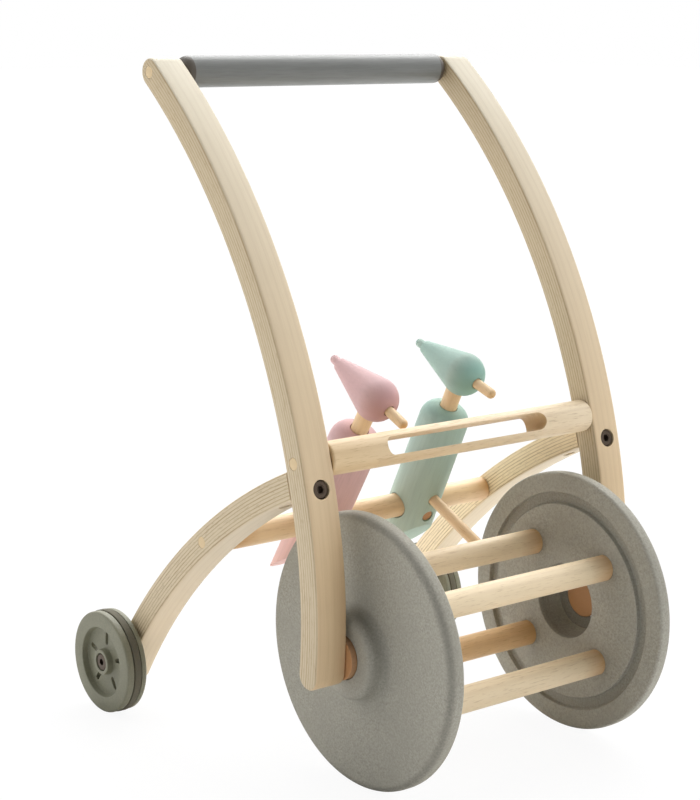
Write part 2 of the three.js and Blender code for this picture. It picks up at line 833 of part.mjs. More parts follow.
// Head turned as a ball that runs back into a cone with a crest knob, bored for neck and beak
const birdHead = () => {
  const toStep = Math.hypot(coneLength, coneEndRadius);
  const coneSlope = Math.asin(headRadius / toStep) - Math.atan(coneEndRadius / coneLength);
  const crestTip = coneLength + crestLength;
  const head = turned([
    ...round(0, -crestTip + crestRadius, crestRadius, -Math.PI / 2, 0, filletSteps),
    [crestRadius, -coneLength],
    [coneEndRadius, -coneLength],
    ...round(0, 0, headRadius, -coneSlope, Math.PI / 2, 2 * domeSteps),
  ], barSteps);
  const beakHole = rod(
    beakRadius + clearance,
    headRadius - beakTenon - clearance,
    headRadius + overrun,
    pegSteps,
  );
  const neckHole = standUp(rod(
    neckRadius + clearance,
    -headRadius - overrun,
    neckIntoHead - headRadius + clearance,
    pegSteps,
  )).translate(-headForward, 0, 0).rotateY(headTilt);
  return cut(lieAlongX(head), [lieAlongX(beakHole), neckHole]);
};

// Rounded peg from one place to another along its axis
const roundedPeg = (radius, from, to) => lieAlongX(turned([
  [0, from],
  [radius, from],
  ...round(0, to - radius, radius, 0, Math.PI / 2, filletSteps),
], pegSteps));

// Bird that rocks on the crossbar
const makeBird = (toy, name, offset, lean, material) => {
  const bird = new THREE.Group();
  bird.position.set(crossbarCentre.x, offset, crossbarCentre.y);
  bird.rotation.y = lean;
  const neckTop = headLift - headRadius + neckIntoHead;
  const neck = standUp(rod(neckRadius, bodyTop - neckTenon, neckTop, pegSteps));
  const beak = roundedPeg(beakRadius, headRadius - beakTenon, beakReach);
  const pinFace = bodyRadius - pinRecess;
  const pin = lieAlongX(rod(pinRadius, grooveRadius + clearance, pinFace, pegSteps));
  add(bird, `${name}_body`, birdBody(), material);
  add(bird, `${name}_neck`, neck, peachWood);
  add(bird, `${name}_head`, birdHead(), material, headForward, headLift, -headTilt);
  add(bird, `${name}_beak`, beak, peachWood, headForward, headLift, -headTilt);
  add(bird, `${name}_peg`, roundedPeg(pegRadius, -pegTenon, pegReach), peachWood, 0, pegLift);
  add(bird, `${name}_retaining_pin`, pin, salmonWood);
  toy.add(bird);
};

// Whole toy, moved along X so that the middle of its length lies at the origin
const toy = new THREE.Group();
const frame = new THREE.Group();
toy.add(frame);
makeUprights(frame);
makeRearLegs(frame);
makeHandlebar(frame);
makeTappingBeam(frame);
makeCrossbar(frame);
makeScrews(frame);
makeFrameBolts(frame);
makeStubAxles(frame);
makeRearAxles(frame);
makeDrum(toy);
makeRearWheels(toy);
makeBird(toy, 'pink_bird', pinkOffset, pinkLean, pinkPaint);
makeBird(toy, 'mint_bird', mintOffset, mintLean, mintPaint);
toy.position.x = (wheelbase + rearAxleHeight - frontWheelRadius) / 2;

export default toy;
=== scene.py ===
"""Wooden push toy: bent plywood frame, rolling drum, small rear wheels and two rocking birds."""
from math import asin, atan, atan2, cos, hypot, pi, radians, sin, sqrt, tan

import bmesh
import bpy
from bpy.props import FloatProperty, FloatVectorProperty, PointerProperty
from mathutils import Matrix, Vector


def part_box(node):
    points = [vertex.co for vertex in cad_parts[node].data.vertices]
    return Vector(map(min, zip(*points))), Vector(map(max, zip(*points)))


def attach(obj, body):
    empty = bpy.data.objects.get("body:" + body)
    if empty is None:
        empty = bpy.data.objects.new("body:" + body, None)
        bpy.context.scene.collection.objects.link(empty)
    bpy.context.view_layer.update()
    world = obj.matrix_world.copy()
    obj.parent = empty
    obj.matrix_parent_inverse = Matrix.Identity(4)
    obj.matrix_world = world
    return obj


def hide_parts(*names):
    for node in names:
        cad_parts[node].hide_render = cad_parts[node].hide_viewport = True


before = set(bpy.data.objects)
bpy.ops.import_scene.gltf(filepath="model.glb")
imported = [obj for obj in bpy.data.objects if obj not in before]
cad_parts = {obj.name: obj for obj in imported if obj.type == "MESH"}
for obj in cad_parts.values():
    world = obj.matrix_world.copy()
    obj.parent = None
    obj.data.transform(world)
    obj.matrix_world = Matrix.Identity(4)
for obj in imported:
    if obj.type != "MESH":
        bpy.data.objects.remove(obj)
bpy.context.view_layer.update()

bl_info = {
    "name": "Wooden Push Toy",
    "version": (1, 0, 0),
    "blender": (4, 5, 0),
    "location": "View3D > Sidebar > Push Toy",
    "description": "Builds a wooden push toy with a rolling drum and two rocking birds",
    "category": "Add Mesh",
}


def linear(code):
    """Linear red, green and blue of an sRGB hex value."""
    parts = [int(code[i:i + 2], 16) / 255 for i in (1, 3, 5)]
    return [part / 12.92 if part <= 0.04045 else ((part + 0.055) / 1.055) ** 2.4 for part in parts]


def size(name, millimetres, description):
    """Length property with its default in millimetres."""
    return FloatProperty(name=name, description=description, default=millimetres / 1000,
                         unit='LENGTH', precision=5)


def turn(name, degrees, description):
    """Angle property with its default in degrees."""
    return FloatProperty(name=name, description=description, default=radians(degrees),
                         subtype='ANGLE', unit='ROTATION')


def colour(name, code, description):
    """Colour property with its default as an sRGB hex value."""
    return FloatVectorProperty(name=name, description=description, default=linear(code),
                               subtype='COLOR', size=3, min=0, max=1)


class PushToyBoardSizes(bpy.types.PropertyGroup):
    upright_thickness: size("Upright thickness", 18.1, "Front to back")
    lower_bend: size("Lower bend radius", 320, "Bend of the upright's lower part")
    upper_bend: size("Upper bend radius", 463, "Bend of the upright's upper part")
    bend_change: turn("Bend change", 11.3, "Lean at which the two bends meet")
    handle_lean: turn("Handle lean", 51.8, "Lean of the upright at the handlebar")
    bow_rise: size("Bow rise", 20.8, "Height of the foremost point above the axle")
    foot_drop: size("Foot drop", 7.6, "Axle down to the centre of the rounded foot")
    leg_thickness: size("Leg thickness", 17.8, "Across the leg's bend")
    leg_bend: size("Leg bend radius", 466, "Bend of the rear legs")
    leg_joint: size("Leg joint height", 202.4, "Where the legs meet the uprights")
    leg_overhang: size("Leg overhang", 14, "Rear axle on to the centre of the leg's rounded end")
    bolt_height: size("Bolt height", 197.8, "Frame bolt above the floor")
    rounding: size("Edge rounding", 1.8, "Rounding of the long edges")


class PushToyWheelSizes(bpy.types.PropertyGroup):
    tread_width: size("Tread width", 11.5, "Front wheel's rim, inner to outer face")
    tread_rounding: size("Tread rounding", 5.5, "Curve from the tread to the outer face")
    boss_foot: size("Boss foot radius", 29.3, "Where the boss would meet the face without its fillet")
    boss_fillet: size("Boss fillet", 5, "Hollow curve from boss to face")
    boss_lip: size("Boss lip radius", 28, "Outer end of the boss")
    recess_mouth: size("Recess mouth radius", 26, "Deep recess in the wheel's back")
    recess_floor: size("Recess floor radius", 22.5, "Floor of the recess")
    hub_web: size("Hub web", 5.6, "Wood left between recess and boss face")
    groove_radius: size("Groove radius", 72.1, "Middle of the groove in the wheel's back")
    groove_width: size("Groove width", 8.2, "Groove in the wheel's back")
    groove_depth: size("Groove depth", 3.6, "Groove in the wheel's back")
    rim_radius: size("Rear rim radius", 36, "Rear wheel's moulded rim")
    rim_inner: size("Rear rim inner radius", 25, "Dished web's outer edge")
    web_setback: size("Web setback", 4.8, "Rim face down to the web")
    web_thickness: size("Web thickness", 5, "Rear wheel's web")
    hub_radius: size("Hub radius", 9, "Rear wheel's hub")
    slot_inner: size("Slot inner end", 12, "Inner end of the web's slots")
    slot_outer: size("Slot outer end", 21.5, "Outer end of the web's slots")
    slot_width: size("Slot width", 3.6, "Width of the web's slots")


class PushToyBirdSizes(bpy.types.PropertyGroup):
    body_radius: size("Body radius", 18.04, "Body at the crossbar")
    body_top: size("Body top", 83.9, "Crossbar to the top of the body")
    shoulder: size("Shoulder rounding", 11, "Rounded top of the body")
    tail_front: size("Tail cut, front", -8, "Where the slanting cut meets the front")
    tail_tip: size("Tail tip", -62, "Lowest point of the body")
    neck_radius: size("Neck radius", 6, "Dowel between body and head")
    head_lift: size("Head lift", 112.8, "Crossbar to the middle of the ball")
    head_forward: size("Head forward", 2.9, "Ball in front of the body's axis")
    head_radius: size("Head radius", 15, "Ball of the head")
    head_tilt: turn("Head tilt", 7.2, "Beak up from square to the body")
    cone_length: size("Cone length", 43, "Ball to the crest's step")
    cone_end: size("Cone end radius", 4.7, "Radius of the step")
    crest_radius: size("Crest radius", 3.1, "Knob at the end of the crest")
    crest_length: size("Crest length", 8.8, "Knob at the end of the crest")
    beak_radius: size("Beak radius", 3.5, "Rounded dowel of the beak")
    beak_reach: size("Beak reach", 32.4, "Middle of the ball to the beak's tip")
    peg_radius: size("Peg radius", 4, "Dowel that the drum lifts")
    peg_lift: size("Peg lift", 14.7, "Crossbar up to the peg")
    peg_reach: size("Peg reach", 75, "Body's axis to the peg's tip")
    pink_lean: turn("Pink bird's lean", 31.3, "Lean at rest, its beak just off the beam")
    mint_lean: turn("Mint bird's lean", 25.3, "Lean at rest")


class PushToyColours(bpy.types.PropertyGroup):
    veneer: colour("Veneer", "#d8cfb9", "Birch face veneer, at the handlebar")
    veneer_low: colour("Veneer, low", "#e2c69d", "Birch face veneer, near the floor")
    leg_veneer: colour("Leg veneer", "#dfcdaf", "Birch face veneer of the rear legs")
    ply_edge: colour("Ply edge", "#c3b292", "Long plies in the board's edge, at the handlebar")
    ply_edge_low: colour("Ply edge, low", "#d2c1a2", "Long plies in the board's edge, near the floor")
    ply_line: colour("Ply line", "#a38b66", "Cross plies in the board's edge")
    beech: colour("Beech", "#dfc49a", "Beam and plugs")
    beech_far: colour("Beech, far end", "#e9d6b6", "Left end of the beam")
    dowel: colour("Pale beech", "#f4e0bd", "Drum dowels")
    peach: colour("Peach wood", "#eed0a4", "Crossbar, necks, beaks and pegs")
    red_dowel: colour("Red beech dowel", "#fdd6a2", "The darkest of the drum dowels")
    plug: colour("Plug", "#d6c3a0", "Plugs over the screws")
    toast: colour("Burnished end", "#c39055", "Ends of the crossbar and dowels")
    salmon: colour("Salmon wood", "#a8815c", "Stub axles and pins")
    gray_stain: colour("Gray stain", "#a19e92", "Front wheels")
    gray_grip: colour("Gray grip", "#6f716e", "Handlebar")
    # Darker end grain with painted shade: the handlebar's domed ends where they meet the uprights
    gray_end_and_shade: colour("Gray grip's end", "#4c453c", "End grain of the handlebar")
    gray_plastic: colour("Gray plastic", "#7a7965", "Rear wheels")
    rubber: colour("Rubber", "#605c4d", "Rings of the rear wheels")
    pink: colour("Pink stain", "#d2afb0", "First bird")
    pink_end: colour("Pink end grain", "#c49a9a", "First bird's end grain")
    # The pink tail's lighter colour is painted light from below
    pink_lit_low: colour("Pink stain, low", "#e2b6ab", "First bird's tail")
    mint: colour("Mint stain", "#a6bfb4", "Second bird")
    mint_end: colour("Mint end grain", "#8fb8ae", "Second bird's end grain")
    # The mint tail's lighter colour is painted light from below
    mint_lit_low: colour("Mint stain, low", "#bacbbb", "Second bird's tail")
    bronze: colour("Bronze", "#4d4238", "Bolts")
    zinc: colour("Zinc", "#b9b9b6", "Screws, washers and inserts")


SIDES = ((1, "left"), (-1, "right"))
ACROSS = Matrix.Rotation(-pi / 2, 4, 'X')
ALONG_X = Matrix.Rotation(pi / 2, 4, 'Y')
# Lengths that several pieces share, in metres
PLY = 0.0022
BOARD_PLIES = 8
EASED = 0.0003
JOINT_GAP = 0.0003
OVERRUN = 0.002
SAME_PLACE = 1e-6
HEX_RADIUS, HEX_DEPTH = 0.0026, 0.0034
SHANK_RADIUS, SHANK_EASED = 0.003, 0.0004
SOCKET_DEPTH = 0.006


def middle(node):
    """Middle of a CAD node's box."""
    low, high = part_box(node)
    return (low + high) / 2


def outer_face(node):
    """Distance of a left node's outer face from the toy's middle."""
    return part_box(node)[1].y


def inner_face(node):
    """Distance of a left node's inner face from the toy's middle."""
    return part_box(node)[0].y


def round_size(node):
    """Radius of a round CAD node that lies across the toy, and its left end's place."""
    low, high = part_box(node)
    return (high.z - low.z) / 2, high.y


def polar(centre, radius, angle):
    """Point at a radius and an angle from +X towards +Z, in the X-Z plane."""
    return Vector((centre.x + radius * cos(angle), 0, centre.z + radius * sin(angle)))


def rounded(corners, closed=False, steps=6):
    """Profile with each corner (radius, place, rounding) turned into an arc of its rounding."""
    points = []
    last = len(corners) - 1
    for i, (radius, place, rounding) in enumerate(corners):
        here = Vector((radius, place))
        if not rounding or (not closed and i in (0, last)):
            points.append(here)
            continue
        before = (Vector(corners[i - 1][:2]) - here).normalized()
        after = (Vector(corners[(i + 1) % len(corners)][:2]) - here).normalized()
        half = before.angle(after) / 2
        centre = here + (before + after).normalized() * rounding / sin(half)
        start = here + before * rounding / tan(half) - centre
        end = here + after * rounding / tan(half) - centre
        arc = atan2(start.x * end.y - start.y * end.x, start.dot(end))
        points += [centre + Matrix.Rotation(arc * k / steps, 2) @ start for k in range(steps + 1)]
    return points


def close_up(bm):
    """Merges doubles and turns the faces outwards."""
    bmesh.ops.remove_doubles(bm, verts=bm.verts, dist=SAME_PLACE)
    bmesh.ops.recalc_face_normals(bm, faces=bm.faces)


def turned(corners, closed=False, steps=96):
    """Mesh spun about Z from a profile of corners (radius, place, rounding)."""
    bm = bmesh.new()
    verts = [bm.verts.new((point.x, 0, point.y)) for point in rounded(corners, closed)]
    pairs = list(zip(verts, verts[1:])) + ([(verts[-1], verts[0])] if closed else [])
    edges = [bm.edges.new(pair) for pair in pairs]
    bmesh.ops.spin(bm, geom=verts + edges, cent=(0, 0, 0), axis=(0, 0, 1), angle=2 * pi,
                   steps=steps, use_merge=True)
    close_up(bm)
    return bm


def rod(radius, low, high, low_rounding=0, high_rounding=0, steps=64):
    """Plain turned bar along Z with its two end edges rounded."""
    return turned([(0, low, 0), (radius, low, low_rounding), (radius, high, high_rounding), (0, high, 0)],
                  steps=steps)


def drill(radius, low, high, turned_by=Matrix(), steps=64):
    """Plain round cutter along Z between two places, then turned."""
    bm = bmesh.new()
    bmesh.ops.create_cone(bm, cap_ends=True, segments=steps, radius1=radius, radius2=radius,
                          depth=high - low, matrix=turned_by @ Matrix.Translation((0, 0, (low + high) / 2)))
    return bm


def hex_socket(face):
    """Cutter of a bolt's hex socket in a face square to Z."""
    return drill(HEX_RADIUS, face - HEX_DEPTH, face + OVERRUN / 2, steps=6)


def cut_off(bm, place, normal):
    """Cuts away what lies past a plane and closes the cut."""
    cut = bmesh.ops.bisect_plane(bm, geom=bm.verts[:] + bm.edges[:] + bm.faces[:], dist=SAME_PLACE,
                                 plane_co=place, plane_no=normal, clear_outer=True)
    bmesh.ops.holes_fill(bm, edges=[item for item in cut["geom_cut"] if isinstance(item, bmesh.types.BMEdge)])


def side_frame(place, side):
    """Frame at a place of the side view whose Z points out to the left (1) or right (-1)."""
    return Matrix.Translation((place.x, 0, place.z)) @ Matrix.Rotation(-side * pi / 2, 4, 'X')


def as_object(bm, name):
    """Object of a mesh, linked to the scene."""
    mesh = bpy.data.meshes.new(name)
    bm.to_mesh(mesh)
    bm.free()
    thing = bpy.data.objects.new(name, mesh)
    bpy.context.scene.collection.objects.link(thing)
    return thing


def carve(thing, cutters):
    """Takes the cutters out of an object's mesh."""
    tools = [as_object(cutter, "cutter") for cutter in cutters]
    for tool in tools:
        gap = thing.modifiers.new("gap", 'BOOLEAN')
        gap.operation, gap.solver, gap.object = 'DIFFERENCE', 'EXACT', tool
    shaped = bpy.data.meshes.new_from_object(thing.evaluated_get(bpy.context.evaluated_depsgraph_get()))
    thing.modifiers.clear()
    thing.data = shaped
    for tool in tools:
        bpy.data.objects.remove(tool)


def mark(mesh, name, kind, key, values):
    """Attribute of a mesh's points, for its material."""
    mesh.attributes.new(name, kind, 'POINT').data.foreach_set(key, values)


def piece(bm, name, body, node, finish, place=Matrix(), cutters=(), grain=None, seed=0.0, painted_shade=None):
    """Finished piece: carved, smooth, with its wood grain's coordinates, in place on its body."""
    thing = as_object(bm, name)
    if cutters:
        carve(thing, cutters)
    mesh = thing.data
    grain = grain or (lambda point: (point.x, point.y, point.z + seed))
    mark(mesh, "grain", 'FLOAT_VECTOR', "vector", [part for vert in mesh.vertices for part in grain(vert.co)])
    mark(mesh, "fibre", 'FLOAT_VECTOR', "vector",
         [*(place.to_3x3() @ Vector((0, 0, 1)))] * len(mesh.vertices))
    # Painted shade, where a piece has it, kept on its points for the material
    if painted_shade:
        mark(mesh, "painted_shade", 'FLOAT', "value", [painted_shade(vert.co) for vert in mesh.vertices])
    mesh.transform(place)
    mesh.polygons.foreach_set("use_smooth", [True] * len(mesh.polygons))
    mesh.set_sharp_from_angle(angle=radians(32))
    slot, material = finishes()[finish]
    mesh.materials.clear()
    mesh.materials.append(material)
    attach(thing, body)
    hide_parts(node)


def across_bar(bm, name, node, finish, body="frame", seed=0.0, cutters=()):
    """Turned bar across the toy, centred on a node."""
    centre = middle(node)
    piece(bm, name, body, node, finish, Matrix.Translation((centre.x, 0, centre.z)) @ ACROSS, cutters,
          lambda point: (point.x + seed, point.y, point.z))


def add_node(tree, kind, links=(), **settings):
    """Shader node with its settings, and a value or a link for each named input."""
    made = tree.nodes.new("ShaderNode" + kind)
    for name, value in settings.items():
        setattr(made, name, value)
    for key, value in dict(links).items():
        if isinstance(value, bpy.types.NodeSocket):
            tree.links.new(value, made.inputs[key])
        else:
            made.inputs[key].default_value = value
    return made


def new_material(name):
    """Empty node material and its tree."""
    material = bpy.data.materials.new(name)
    material.use_nodes = True
    material.node_tree.nodes.clear()
    return material, material.node_tree


def surface(tree, colour_socket, pattern, relief, roughness, roughest=None, **constants):
    """Wires a surface to the output. Its relief and any change of roughness come from one pattern."""
    bump = add_node(tree, "Bump", {"Strength": 1.0, "Distance": relief, "Height": pattern})
    links = {"Base Color": colour_socket, "Roughness": roughness, "Normal": bump.outputs[0]}
    if roughest:
        links["Roughness"] = add_node(tree, "MapRange", {
            0: pattern, 1: 0.3, 2: 0.7, 3: roughness, 4: roughest}).outputs[0]
    links.update({key.replace("_", " "): value for key, value in constants.items()})
    shader = add_node(tree, "BsdfPrincipled", links)
    add_node(tree, "OutputMaterial", {"Surface": shader.outputs[0]})


def shade(base, factor=1.0):
    """Colour made darker or lighter by a factor."""
    return [min(1.0, part * factor) for part in base[:3]] + [1.0]


def laid_over(tree, under, over, pattern, low, high, most=1.0):
    """Second colour over the first, more of it where a pattern rises from low to high."""
    amount = add_node(tree, "MapRange", {0: pattern, 1: low, 2: high, 3: 0.0, 4: most})
    return add_node(tree, "Mix", {0: amount.outputs[0], 6: under, 7: over}, data_type='RGBA').outputs[2]


def streaks(tree, lines, grain_mm, drawn, detail=2.0):
    """Noise with grains of a size in millimetres, drawn out by a scale for each axis of the wood."""
    mapped = add_node(tree, "Mapping", {"Vector": lines, "Scale": drawn})
    return add_node(tree, "TexNoise", {
        "Vector": mapped.outputs[0], "Scale": 1000 / grain_mm, "Detail": detail, "Roughness": 0.55}).outputs[0]


def wave_scale(spacing_mm):
    """Scale of a wave texture whose lines lie a spacing in millimetres apart."""
    return 100 * pi / spacing_mm


def wood_lines(tree):
    """Coordinates that follow the wood's grain, and the run along it."""
    lines = add_node(tree, "Attribute", attribute_name="grain").outputs["Vector"]
    return lines, add_node(tree, "SeparateXYZ", {"Vector": lines}).outputs["Z"]


def squareness(tree, axis):
    """How squarely the surface faces along an axis."""
    normal = add_node(tree, "TexCoord").outputs["Normal"]
    along = add_node(tree, "VectorMath", {0: normal, 1: axis}, operation='DOT_PRODUCT').outputs["Value"]
    return add_node(tree, "Math", {0: along}, operation='ABSOLUTE').outputs[0]


def fibre_ends(tree):
    """How squarely the surface cuts across the fibres."""
    return squareness(tree, add_node(tree, "Attribute", attribute_name="fibre").outputs["Vector"])


# Sanded and lacquered solid wood: growth rings cut lengthways, short darker flecks,
# and end grain that drinks the lacquer and goes darker
def solid_wood(name, base, ring_depth=0.1, fleck_depth=0.4, pith=(0.03, 0.012, 0), gloss=0.45,
               toast=None, far=None, end_tone=0.78):
    material, tree = new_material(name)
    lines, run = wood_lines(tree)
    bent = add_node(tree, "Mapping", {
        "Vector": lines, "Scale": (1, 1, 0.1), "Rotation": (radians(1.5), radians(2), 0), "Location": pith})
    rings = add_node(tree, "TexWave", {
        "Vector": bent.outputs[0], "Scale": wave_scale(4.19), "Distortion": 3.5, "Detail Scale": 1.2},
        wave_type='RINGS', rings_direction='Z').outputs[1]
    flecks = streaks(tree, lines, 0.91, (1, 1, 0.1))
    blotch = streaks(tree, lines, 16.7, (1, 1, 0.25))
    dark = (base[0] * 0.45, base[1] * 0.32, base[2] * 0.18, 1)
    tone = laid_over(tree, shade(base), shade(far or base), run, -0.1, 0.1)
    tone = laid_over(tree, tone, dark, rings, 0.3, 1.0, ring_depth)
    tone = laid_over(tree, tone, dark, flecks, 0.56, 0.76, fleck_depth)
    tone = laid_over(tree, tone, dark, blotch, 0.35, 0.7, 0.07)
    if toast:
        half_length, reach, brown = toast
        from_middle = add_node(tree, "Math", {0: run}, operation='ABSOLUTE').outputs[0]
        tone = laid_over(tree, tone, shade(brown), from_middle, half_length - reach, half_length, 0.7)
    warmed = (base[0], base[1] * 0.93, base[2] * 0.82)
    tone = laid_over(tree, tone, shade(warmed, end_tone), fibre_ends(tree), 0.35, 0.95)
    surface(tree, tone, flecks, 0.00005, gloss, gloss + 0.15, Coat_Weight=0.04, Coat_Roughness=0.4)
    return material


# Bent birch plywood, clear lacquered: pale face veneers with a faint figure,
# and tan edges with thin darker cross plies
def plywood(name, low, high, edge_low, edge, line, edge_shade=None):
    material, tree = new_material(name)
    lines, run = wood_lines(tree)
    brown, dark_brown = (0.3, 0.16, 0.06, 1), (0.2, 0.12, 0.05, 1)
    plies = add_node(tree, "TexWave", {
        "Vector": lines, "Scale": wave_scale(PLY * 1000), "Distortion": 0.3, "Detail Scale": 0.8},
        bands_direction='Y').outputs[1]
    tilted = add_node(tree, "Mapping", {
        "Vector": lines, "Scale": (1, 0.3, 0.07), "Rotation": (0, radians(2.2), 0)})
    figure = add_node(tree, "TexWave", {
        "Vector": tilted.outputs[0], "Scale": wave_scale(5.236), "Distortion": 5.0,
        "Detail Scale": 0.9}).outputs[1]
    fibres = streaks(tree, lines, 0.667, (1, 1, 0.02), 3.0)
    fade = streaks(tree, lines, 2.38, (0.2, 1, 0.06))
    dashes = streaks(tree, lines, 0.667, (0.3, 1, 0.12))
    face = laid_over(tree, shade(low), shade(high), run, 0.06, 0.42)
    # Painted shade: a darker band across the board near one edge, fading out up the board
    if edge_shade:
        across = add_node(tree, "SeparateXYZ", {"Vector": lines}).outputs["X"]
        fading = add_node(tree, "MapRange", {0: run, 1: 0.04, 2: 0.2, 3: 0.5, 4: 0.0})
        face = laid_over(tree, face, brown, across, *edge_shade, fading.outputs[0])
    face = laid_over(tree, face, brown, figure, 0.45, 1.0, 0.06)
    face = laid_over(tree, face, dark_brown, fibres, 0.5, 0.78, 0.1)
    broken = add_node(tree, "MapRange", {0: fade, 1: 0.3, 2: 0.65, 3: 0.35, 4: 1.0})
    side = laid_over(tree, shade(edge_low), shade(edge), run, 0.06, 0.42)
    side = laid_over(tree, side, shade(line), plies, 0.6, 0.98, broken.outputs[0])
    side = laid_over(tree, side, shade(line, 0.9), dashes, 0.56, 0.72, 0.6)
    tone = laid_over(tree, face, side, squareness(tree, (0, 1, 0)), 0.55, 0.85)
    surface(tree, tone, fibres, 0.00005, 0.5, 0.62, Coat_Weight=0.03, Coat_Roughness=0.4)
    return material


# Water-stained hardwood, matt: soft streaks along the piece, and end grain that takes more of the stain;
# a lighter low colour as painted light from below, and domed ends darkened as end grain with painted shade
def stained_wood(name, base, deep, streak=0.07, cap=None, low=None, roughness=0.6):
    material, tree = new_material(name)
    lines, run = wood_lines(tree)
    fibres = streaks(tree, lines, 0.769, (1, 1, 0.05), 3.0)
    bands = streaks(tree, lines, 3.85, (1, 1, 0.06), 3.0)
    dark = shade(base, 0.3)
    # Lighter low colour towards the tail: painted light from below
    tone = laid_over(tree, shade(low or base, 1.03), shade(base, 1.03), run, 0.35, 0.47)
    tone = laid_over(tree, tone, dark, bands, 0.35, 0.7, streak * 1.4)
    tone = laid_over(tree, tone, dark, fibres, 0.48, 0.75, streak * 1.6)
    if cap:
        # Domed ends dark from where the dome starts: darker end grain, with painted shade against the uprights
        half_length, reach = cap
        start, crisp = half_length - reach, 0.0003
        from_middle = add_node(tree, "Math", {0: run}, operation='ABSOLUTE').outputs[0]
        tone = laid_over(tree, tone, shade(deep), from_middle, start, start + crisp)
    else:
        thirst = add_node(tree, "MapRange", {0: run, 1: 0.5, 2: 0.85, 3: 0.35, 4: 1.0})
        tone = laid_over(tree, tone, shade(deep), fibre_ends(tree), 0.1, 0.75, thirst.outputs[0])
    surface(tree, tone, fibres, 0.00004, roughness, roughness + 0.12)
    return material


# Evenly toned matt board, plastic or rubber: a salt-and-pepper speckle over slow patches,
# and painted shade where a piece's points carry it
def speckled(name, base, speck_mm=1.4, depth=0.25, mottle=0.06, roughness=0.72):
    material, tree = new_material(name)
    place = add_node(tree, "TexCoord").outputs["Object"]
    specks = add_node(tree, "TexNoise", {
        "Vector": place, "Scale": 1000 / speck_mm, "Detail": 4.0, "Roughness": 0.7}).outputs[0]
    patches = add_node(tree, "TexNoise", {
        "Vector": place, "Scale": 1000 / 26.3, "Detail": 3.0, "Roughness": 0.55}).outputs[0]
    # Painted shade from the points' attribute, laid on as a darker colour
    painted_shade_amount = add_node(tree, "Attribute", attribute_name="painted_shade").outputs["Fac"]
    tone = laid_over(tree, shade(base, 1 - depth), shade(base, 1 + depth), specks, 0.32, 0.68)
    tone = laid_over(tree, tone, shade(base, 1 - mottle), patches, 0.35, 0.65, 0.5)
    tone = laid_over(tree, tone, shade(base, 0.12), painted_shade_amount, 0.0, 1.0, 0.45)
    surface(tree, tone, specks, 0.00012, roughness)
    return material


# Plated or coated steel, slightly worn bright on its high spots
def coated_metal(name, base, metallic=0.85, roughness=0.32):
    material, tree = new_material(name)
    place = add_node(tree, "TexCoord").outputs["Object"]
    scuffs = add_node(tree, "TexNoise", {
        "Vector": place, "Scale": 1000 / 1.11, "Detail": 3.0, "Roughness": 0.7}).outputs[0]
    worn = laid_over(tree, shade(base), shade(base, 1.5), scuffs, 0.45, 0.75, 0.6)
    surface(tree, worn, scuffs, 0.00003, roughness, roughness + 0.18, Metallic=metallic)
    return material


